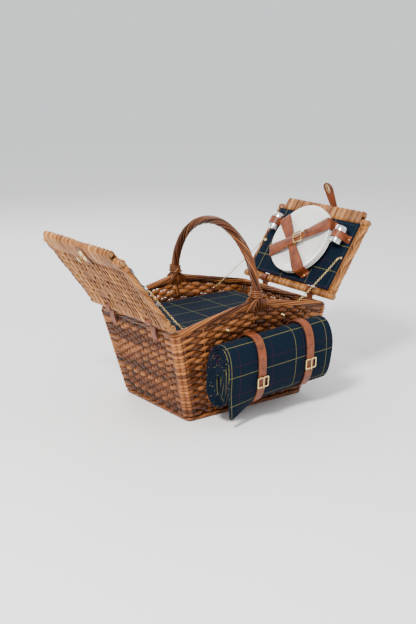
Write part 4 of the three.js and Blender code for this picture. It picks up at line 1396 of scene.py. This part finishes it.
def add_lock():
    low, high = in_lid("left", "lock_plate")
    centre = ((low[0] + high[0]) / 2, (low[1] + high[1]) / 2)
    patch = Bundle(110)
    here = Matrix.Translation((*centre, 0))
    outline = rounded_rectangle(28 * MM, 17.5 * MM, 7 * MM, 6)
    patch.slab(outline, 8.4 * MM, low[2] - 0.05 * MM, here, 0.6 * MM)
    patch.build_on("left", "lock_patch", LEATHER)
    sewing = Bundle(111)
    ring = [(*p, low[2]) for p in rounded_rectangle(25.6 * MM, 15 * MM, 5 * MM, 6)]
    ring = resample(ring + ring[:1], 4 * MM)
    stitches(sewing, ring + (*centre, 0), UP, UP, 0, 4 * MM)
    sewing.build_on("left", "lock_patch_stitching", STITCHING)
    dress("lock_plate", "left_lid", BRASS_WORK, 0.4 * MM)
    dress("turn_button", "turn_button", BRASS_WORK, 1.0 * MM)
    pins = Bundle(112)
    for x in (-21.5 * MM, 21.5 * MM):
        rivet(pins, (centre[0] + x, centre[1], low[2] - 0.1 * MM), UP, 1.7 * MM, 0.9 * MM)
    pins.build_on("left", "lock_pins", BRASS_WORK)


def add_clasp():
    dress("clasp_strap", "clasp", LEATHER, 0.5 * MM)
    dress("clasp_plate", "clasp", BRASS_WORK, 0.3 * MM)
    add_eyelet()
    pivot = lid_matrix("right").inverted() @ Vector(joints["clasp_fold"]["pos_m"])
    tab = Bundle(115)
    start = pivot.x - 40 * MM
    line = soften([
        (start, pivot.y, 9.4 * MM), (start + 16 * MM, pivot.y, 9.6 * MM),
        (pivot.x - 14 * MM, pivot.y, 10.2 * MM),
        (pivot.x - 5 * MM, pivot.y, pivot.z - 3.6 * MM),
    ], 8 * MM)
    tab.sweep(resample(line, 3 * MM), UP, STRAP_SECTION, (13.5 * MM, STRAP_THICK))
    tab.build_on("right", "clasp_root", LEATHER)
    pins = Bundle(116)
    for t in (-7 * MM, 7 * MM):
        rivet(pins, (start + 8 * MM, pivot.y + t, 10.7 * MM), UP, 2.6 * MM, 1.4 * MM)
    pins.build_on("right", "clasp_root_rivets", BRASS_WORK)


def add_eyelet():
    """The brass rim of the clasp's slot, on both its faces."""
    plate = np.array([v.co for v in frame["nodes"]["clasp_plate"].data.vertices])
    strap = np.array([v.co for v in frame["nodes"]["clasp_strap"].data.vertices])
    pivot = Vector(joints["clasp_fold"]["pos_m"])
    along = Vector(strap.max(0) + strap.min(0)) / 2 - pivot
    along.y = 0
    along.normalize()
    across = Vector((0, 1, 0))
    out = along.cross(across)
    centre = Vector((plate.max(0) + plate.min(0)) / 2)
    if out.dot(centre - pivot) >= 0:
        across, out = -across, -out
    centre = centre - out * (centre - pivot).dot(out)
    rim = Bundle(117)
    ring, hole = ellipse(15.5 * MM, 8.6 * MM), ellipse(11.4 * MM, 3.8 * MM)
    turn = basis(along, across, along.cross(across), centre)
    rim.slab(ring, 1.45 * MM, 1.95 * MM, turn, 0.2 * MM, hole)
    rim.slab(ring, -1.95 * MM, -1.45 * MM, turn, 0.2 * MM, hole)
    rim.build("clasp_eyelet", "clasp", BRASS_WORK)


# ---------------------------------------------------------------------------------------------
# Chains, hinge straps and studs
# ---------------------------------------------------------------------------------------------
CHAIN_WALL = {"left": (-205 * MM, 244 * MM), "right": (128 * MM, 254 * MM)}
CHAIN_LID = (112 * MM, 166 * MM, -20.4 * MM)
LINK_LENGTH, LINK_WIDTH, LINK_WIRE = 7.4 * MM, 5.4 * MM, 0.62 * MM
CHAIN_SAG, CLIP_LENGTH = 3.5 * MM, 15 * MM


def link_path(steps=5):
    """A stadium round the origin, in X and Y."""
    straight = (LINK_LENGTH - LINK_WIDTH) / 2
    r = LINK_WIDTH / 2 - LINK_WIRE
    points = []
    for end, start in ((1, -90), (-1, 90)):
        for i in range(steps + 1):
            angle = math.radians(start + 180 * i / steps)
            points.append((end * straight + r * math.cos(angle), r * math.sin(angle), 0))
    return np.array(points)


def add_chain(name, side, seed):
    """A curb chain from a leather tab inside the wall to the lid, where a barrel clip ends it."""
    body = name + "_lid"
    face = "front" if side < 0 else "back"
    x, z = CHAIN_WALL[name]
    wall = Vector((x, side * (outer_y(z) - 18.6 * MM), z))
    sign = LID_ACROSS[name].y
    eye = lid_matrix(name) @ Vector((CHAIN_LID[0], side * sign * CHAIN_LID[1], CHAIN_LID[2]))
    clip_end = eye + (wall - eye).normalized() * CLIP_LENGTH
    chain = Bundle(seed)
    run = clip_end - wall
    count = int(run.length / (LINK_LENGTH - 4.2 * LINK_WIRE))
    along = run.normalized()
    path = link_path()
    for i in range(count):
        share = (i + 0.5) / count
        sag = -CHAIN_SAG * 4 * share * (1 - share)
        at = wall + run * share + Vector((0, 0, sag))
        lean = math.radians(45 if i % 2 else -45)
        y = (Matrix.Rotation(lean, 3, along) @ along.cross(UP)).normalized()
        normal = along.cross(y)
        chain.sweep(turned(path, basis(along, y, normal, at)), normal, circle(6), LINK_WIRE, 0.5, True)
    links = chain.build(f"{name}_chain_{face}", None, BRASS_WORK, [f"chain_{name}_{face}"], None, False)
    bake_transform(links)
    add_chain_ends(name, face, side, wall, eye, clip_end, body)


BARREL = [
    (0, 0), (1.2, 0), (1.5, 1.2), (2.5, 1.8), (2.7, 3), (2.7, 9), (2.4, 9.6), (2.7, 10.2), (2.7, 11.6),
    (1.6, 12.6), (1.4, 14.6), (0, 15),
]
CLIP_FOOT = [(0, 0), (5.2, 0), (5.2, 0.9), (2.2, 1.6), (1.5, 4.6), (0, 5.4)]


def add_chain_ends(name, face, side, wall, eye, clip_end, body):
    clip = Bundle(130)
    clip.lathe([(r * MM, h * MM) for r, h in BARREL], facing(eye - clip_end, clip_end), 20)
    inward = -(lid_matrix(name).to_3x3() @ Vector(UP))
    foot = eye - inward * (-CHAIN_LID[2] + LINING_FACE)
    clip.lathe([(r * MM, h * MM) for r, h in CLIP_FOOT], facing(inward, foot), 24)
    clip.build(f"{name}_clip_{face}", body, BRASS_WORK)
    tab = Bundle(131)
    lean = Vector((0, side * LEAN_Y, 1)).normalized()
    inside = Vector((0, -side, 0))
    x_axis = Vector((1, 0, 0))
    flat = basis(x_axis, lean, x_axis.cross(lean), wall - inside * 2.0 * MM)
    tab.slab(rounded_rectangle(10 * MM, 8 * MM, 3 * MM, 5), -1.1 * MM, 1.1 * MM, flat, 0.5 * MM)
    tab.build(f"{name}_chain_tab_{face}", "basket", LEATHER)
    pin = Bundle(132)
    rivet(pin, wall - inside * 0.9 * MM, inside, 2.8 * MM, 1.5 * MM)
    pin.build(f"{name}_chain_rivet_{face}", "basket", BRASS_WORK)


STUDS = [(-94 * MM, 242 * MM), (93.5 * MM, 254 * MM)]


def add_fittings():
    """The hinge straps with their rivets, and the ball studs on the front."""
    pins = Bundle(140)
    for name, side in (("left", -1), ("right", 1)):
        for face in ("front", "back"):
            node = f"hinge_strap_{name}_{face}"
            dress(node, "basket", LEATHER, 0.55 * MM, (0, 1, 0))
            low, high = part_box(node)
            z = low.z + 9 * MM
            at = (side * (outer_x(z) + 3.6 * MM), (low.y + high.y) / 2, z)
            rivet(pins, at, (side, 0, -0.25), 3.2 * MM)
    ball = [(4.2 * math.sin(a), 5.0 - 4.2 * math.cos(a)) for a in np.linspace(0.5, math.pi, 10)]
    profile = [(0, -6), (1.6, -6), (1.6, -0.6), (5.0, -0.5), (5.0, 0.4), (2.2, 0.8), *ball[:-1], (0, 9.2)]
    for x, z in STUDS:
        y = -(outer_y(z) - WALL_INSET + 2.4 * MM)
        turn = basis((1, 0, 0), (0, 0, 1), (0, -1, 0), (x, y, z))
        pins.lathe([(r * MM, h * MM) for r, h in profile], turn, 28)
    pins.build("outside_studs", "basket", BRASS_WORK)


# ---------------------------------------------------------------------------------------------
# The blanket
# ---------------------------------------------------------------------------------------------
ROLL_CENTRE = Vector((20.5 * MM, -228.7 * MM, 147.6 * MM))
ROLL_TILT = math.radians(3.5)
ROLL_HALF = 174.5 * MM
ROLL_DEEP, ROLL_HIGH, ROLL_EXPONENT = 50.6 * MM, 93.1 * MM, 2.5
PLIES, PLY, PLY_PITCH, TURN_PITCH = 4, 2.2 * MM, 2.65 * MM, 11.4 * MM
STRAPS = {"left": -0.052, "right": 0.113}
STRAP_HALF = 12.5 * MM
STRAP_HOLES = {"left": (38, 10, 66), "right": (36, 8, 64)}  # heights of the punched holes, in millimetres
FLAP_FROM, FLAP_DROP = 1.10 * math.pi, 72 * MM
ROLL_TURNS = 3.55
CLOTH_MIDDLE = -62.5 * MM  # an olive line's place along the roll, from its middle
CLOTH_START = -44 * MM  # how far the straight part's start is from an olive line


def roll_matrix():
    tilt = Matrix.Rotation(-ROLL_TILT, 4, "Y")
    return Matrix.Translation(ROLL_CENTRE) @ tilt


def roll_point(phi, inset):
    """(y, z) on the roll's outline drawn inwards by inset, at an angle from its back."""
    power = 2 / ROLL_EXPONENT
    c, s = np.cos(phi), np.sin(phi)
    y = np.maximum(ROLL_DEEP - inset, 0.002) * np.sign(c) * np.abs(c) ** power
    z = np.maximum(ROLL_HIGH - inset, 0.002) * np.sign(s) * np.abs(s) ** power
    return np.stack([y - LEAN_Y * z, z], -1)


def roll_spiral(ply):
    """The path of a fold of the blanket, from the loose end inwards: points, lengths and turns."""
    phi = np.linspace(FLAP_FROM, FLAP_FROM - 2 * np.pi * ROLL_TURNS, 2200)
    turns = (FLAP_FROM - phi) / (2 * np.pi)
    line = roll_point(phi, PLY / 2 + 0.4 * MM + ply * PLY_PITCH + TURN_PITCH * turns)
    length = lengths(line)
    at = np.linspace(0, length[-1], int(length[-1] / (5.2 * MM)))
    points = np.stack([np.interp(at, length, line[:, k]) for k in range(2)], 1)
    return points, at, np.interp(at, length, turns)


def strap_dent(x):
    """1 under the straps, 0 away from them."""
    dent = 0
    for place_x in STRAPS.values():
        off = np.abs(x - (place_x - ROLL_CENTRE.x)) - STRAP_HALF
        dent = np.maximum(dent, ease(np.clip(1 - off / (30 * MM), 0, 1)))
    return dent


def add_blanket():
    """Four folds of cloth wound into a flat roll, the loose end hanging at the front."""
    random = np.random.RandomState(7)
    points, faces, cloth = [], [], []
    start = 0
    for ply in range(PLIES):
        grid, uv = blanket_ply(ply, random)
        n, m = grid.shape[:2]
        index = start + np.arange(n * m).reshape(n, m)
        a, b = index, np.roll(index, -1, 1)
        faces += np.stack([a[:-1], a[1:], b[1:], b[:-1]], -1).reshape(-1, 4).tolist()
        for row, flip in ((index[0], False), (index[-1], True)):
            for k in range(m // 2 - 1):
                cap = [int(row[k]), int(row[k + 1]), int(row[m - 2 - k]), int(row[m - 1 - k])]
                faces.append(cap[::-1] if flip else cap)
        points.append(grid.reshape(-1, 3))
        cloth.append(uv.reshape(-1, 3))
        start += n * m
    mesh = cloth_mesh("blanket", np.concatenate(points), faces, np.concatenate(cloth))
    mesh.transform(roll_matrix())
    blanket = place(mesh, "blanket", "blanket", "navy_tweed", ["picnic_blanket"])


def blanket_ply(ply, random):
    """One fold's surface: along X by round its section (outer side, then back along the inner side)."""
    path, at, turns = roll_spiral(ply)
    tail = np.linspace(FLAP_DROP, 0, 15)[:-1]
    still = np.zeros(len(tail))
    length = np.concatenate([-tail, at])
    outer_turn = np.clip(1 - np.concatenate([still, turns]), 0, 1)
    lean = np.clip((np.concatenate([still - 0.05, path[:, 0]]) + 0.045) / 0.09, 0, 1)
    grid, cloth = [], []
    wave = random.uniform(0, 6, 6)
    end_shift = 2.2 * MM * np.sin(at * 21 + wave[0]) + 1.3 * MM * np.sin(at * 53 + wave[1]) - ply * 0.6 * MM
    end_shift = np.concatenate([still + end_shift[0], end_shift])
    for x in np.linspace(-1, 1, 44):
        slide = end_shift * np.sign(x) - 9 * MM * lean * (x < 0)
        place_x = x * (ROLL_HALF - 1.0 * MM) + slide * np.clip(abs(x) * 6 - 5, 0, 1)
        middle_x = x * ROLL_HALF
        dent = strap_dent(middle_x)
        loose = float(np.clip((-middle_x - 62 * MM) / (108 * MM), 0, 1))
        section = np.concatenate([flap_line(tail, path[0], ply, loose), path])
        along = np.gradient(section, axis=0)
        normal = unit(np.stack([along[:, 1], -along[:, 0]], 1))
        centre = section - section.mean(0)
        if np.mean(np.sum(normal * centre, 1)[len(tail):len(tail) + 30]) < 0:
            normal = -normal
        fold = 0.55 * MM * np.sin(middle_x * 46 + length * 9 + wave[2]) * np.sin(length * 17 + wave[3])
        messy = (1 - outer_turn) * np.clip(abs(x) * 5 - 4, 0, 1) * 1.1 * MM * np.sin(length * 70 + wave[4])
        push = -1.0 * MM * dent * outer_turn - np.abs(fold) * (1 - dent) + messy
        section = section + normal * push[:, None]
        thick = PLY / 2 * (1 - 0.25 * dent)
        ring = np.concatenate([section + normal * thick, (section - normal * thick)[::-1]])
        px = np.concatenate([place_x, place_x[::-1]])
        grid.append(np.column_stack([px, ring]))
        v = np.concatenate([length, length[::-1]]) + CLOTH_START + 31 * MM * ply
        cloth.append(np.column_stack([px - CLOTH_MIDDLE + 37 * MM * ply, v, 0 * v]))
    return np.array(grid), np.array(cloth)


def flap_line(tail, top, ply, loose):
    """The loose end below a point of the roll's front: hanging straight, or following the roll."""
    phi = FLAP_FROM + tail / FLAP_DROP * 0.335 * math.pi
    close = roll_point(phi, PLY / 2 + 0.4 * MM + ply * PLY_PITCH)
    hang = np.stack([top[0] + 0.02 * tail, top[1] - tail], 1)
    return close + (hang - close) * loose


def add_roll_straps():
    axis = roll_matrix().to_3x3() @ Vector((1, 0, 0))
    sewing, dark = Bundle(150), Bundle(151)
    for name, place_x in STRAPS.items():
        dress(f"blanket_strap_{name}", "basket", LEATHER, 0.5 * MM, axis)
        dress(f"blanket_buckle_{name}", "basket", BRASS_WORK, 0.8 * MM)
        dress(f"blanket_prong_{name}", f"{name}_strap_prong", BRASS_WORK, 0.35 * MM)
        outline = roll_point(np.linspace(1.35 * np.pi, 0.55 * np.pi, 120), -3.5 * MM)
        x = place_x - ROLL_CENTRE.x
        line = np.column_stack([np.full(len(outline), x), outline])
        out = np.cross((1.0, 0, 0), unit(np.gradient(line, axis=0)))
        out = out * np.sign(np.sum(out * (line - (x, 0, 0)), 1))[:, None]
        for offset in (-9.6 * MM, 9.6 * MM):
            stitches(sewing, line, resample_like(out, line, STITCH_PITCH), (1, 0, 0), offset)
        for z in STRAP_HOLES[name]:
            k = int(np.argmin(np.abs(line[:, 2] - z * MM) + 10 * (line[:, 1] > 0)))
            z_axis = Vector(out[k])
            turn = basis((1, 0, 0), z_axis.cross((1, 0, 0)), z_axis, line[k])
            punch(dark, 1.9 * MM, 0.1 * MM, 14, turn)
    sewing.build("roll_strap_stitching", "basket", STITCHING, (), roll_matrix())
    dark.build("roll_strap_holes", "basket", PUNCHED_SHADOW, (), roll_matrix())


def resample_like(values, line, step):
    """Values given along a line, read at the places where resample would put its points."""
    along = lengths(line)
    count = max(2, int(round(along[-1] / step)) + 1)
    at = np.linspace(0, along[-1], count)
    return unit(np.stack([np.interp(at, along, values[:, k]) for k in range(3)], 1))


# ---------------------------------------------------------------------------------------------
# The cooler
# ---------------------------------------------------------------------------------------------
COOLER_PUFF = 5 * MM
QUILT = 78  # waves of the lining, radians a metre


def voxel_copy(node, name, voxel):
    """A copy of a CAD node's mesh, made of even small faces with soft corners."""
    source = frame["nodes"][node]
    mesh = source.data.copy()
    mesh.transform(source.matrix_world)
    mesh.materials.clear()
    piece = bpy.data.objects.new(name, mesh)
    bpy.context.scene.collection.objects.link(piece)
    remesh = piece.modifiers.new("remesh", "REMESH")
    remesh.mode = "VOXEL"
    remesh.voxel_size = voxel
    remesh.use_smooth_shade = True
    bake(piece)
    return piece


def bake(piece):
    """Replace a piece's mesh by what its modifiers make of it."""
    graph = bpy.context.evaluated_depsgraph_get()
    mesh = bpy.data.meshes.new_from_object(piece.evaluated_get(graph), depsgraph=graph)
    piece.modifiers.clear()
    piece.data = mesh


def inflate(piece, cap):
    """Blow the piece up a little as closed cloth, moving nothing further than the cap."""
    before = corners_of(piece)
    cloth = piece.modifiers.new("cloth", "CLOTH")
    cloth.settings.quality = 5
    cloth.settings.mass = 0.3
    cloth.settings.tension_stiffness = 12
    cloth.settings.compression_stiffness = 12
    cloth.settings.shear_stiffness = 6
    cloth.settings.bending_stiffness = 0.6
    cloth.settings.use_pressure = True
    cloth.settings.uniform_pressure_force = 4.0
    cloth.settings.effector_weights.gravity = 0.0
    cloth.point_cache.frame_start = 1
    cloth.point_cache.frame_end = 20
    for step in range(1, 21):
        bpy.context.scene.frame_set(step)
    bake(piece)
    bpy.context.scene.frame_set(1)
    move = corners_of(piece) - before
    size = np.linalg.norm(move, axis=1, keepdims=True)
    move *= np.minimum(1, cap / np.maximum(size, 1e-9))
    piece.data.vertices.foreach_set("co", (before + move).ravel())
    piece.data.update()
    finer = piece.modifiers.new("one subdivision", "SUBSURF")
    finer.levels = finer.render_levels = 1
    bake(piece)


def finish_cooler(piece, body, replaces, cloth, paint_of=None, extra=()):
    """Tweed on the puffed piece, and foil where paint_of says so."""
    mesh = piece.data
    mesh.materials.clear()
    for material in (TWEED, *extra):
        mesh.materials.append(material)
    put(mesh, "cloth", cloth)
    put(mesh, "grain", corners_of(piece))
    for polygon in mesh.polygons:
        polygon.use_smooth = True
        polygon.material_index = paint_of(polygon.center, polygon.normal) if paint_of else 0
    claim(piece, body, "navy_tweed", replaces)


def corners_of(piece):
    return np.array([v.co for v in piece.data.vertices])


def tape_round(bundle, x, y, corner, z, radius):
    """A bound edge round a rounded rectangle."""
    bundle.rod(level_loop(x, y, corner, z, 6 * MM), radius, UP, 8, 0.5, True)


def add_cooler():
    low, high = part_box("cooler_lid")
    top = voxel_copy("cooler_lid", "cooler_top", 4.5 * MM)
    inflate(top, COOLER_PUFF)
    crush(top, low, high)
    finish_cooler(top, "cooler_lid", ["cooler_lid"], corners_of(top) - (0.052, 0.020, 0))
    piping = Bundle(160)
    x, y = high.x - 2.1 * MM, high.y - 2.1 * MM
    for z in (high.z - 0.6 * MM, low.z + 0.8 * MM):
        tape_round(piping, x, y, 10 * MM, z, 1.9 * MM)
    piping.build("cooler_piping", "cooler_lid", TAPED)
    add_tub()


def crush(piece, low, high):
    """Keep the puffed lid inside the sides it drops between."""
    points = corners_of(piece)
    points[:, 0] = np.clip(points[:, 0], low.x, high.x)
    points[:, 1] = np.clip(points[:, 1], low.y, high.y)
    points[:, 2] = np.maximum(points[:, 2], low.z)
    piece.data.vertices.foreach_set("co", points.ravel())
    piece.data.update()


def add_tub():
    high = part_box("cooler_tub")[1]
    tub = voxel_copy("cooler_tub", "cooler_box", 6 * MM)
    points = corners_of(tub)
    normals = np.array([v.normal for v in tub.data.vertices])
    inward = np.sum(normals[:, :2] * points[:, :2], 1) < 0
    x, y, z = points.T
    quilt = np.abs(np.sin(x * QUILT) * np.sin(y * QUILT + 0.5) * np.sin(z * QUILT + 0.8))
    points -= normals * (1.2 * MM * quilt * inward)[:, None]
    tub.data.vertices.foreach_set("co", points.ravel())

    def paint_of(centre, normal):
        side = normal.x * centre.x + normal.y * centre.y < 0 and abs(normal.z) < 0.7
        floor = normal.z > 0.7 and centre.z < high.z - 20 * MM
        return 1 if side or floor else 0

    x, y, z = corners_of(tub).T
    finish_cooler(tub, "basket", ["cooler_tub"], np.stack([x + y, z, y], 1), paint_of, [FOIL])
    hem = Bundle(161)
    for inset in (2.8 * MM, 10.2 * MM):
        tape_round(hem, high.x - inset, high.y - inset, 12 * MM, high.z - 1.2 * MM, 1.8 * MM)
    hem.build("cooler_hem", "basket", TAPED)


add_camera()
add_studio()
add_weave()
add_borders()
add_base()
add_handle()
for index, lid_name in enumerate(("left", "right")):
    add_lid(lid_name, 51 + 10 * index)
    add_lining(lid_name)
add_plates()
add_shakers()
add_cutlery()
add_lock()
add_clasp()
for index, lid_name in enumerate(("left", "right")):
    add_chain(lid_name, -1, 120 + index)
    add_chain(lid_name, 1, 124 + index)
add_fittings()
add_roll_straps()
add_blanket()
add_cooler()
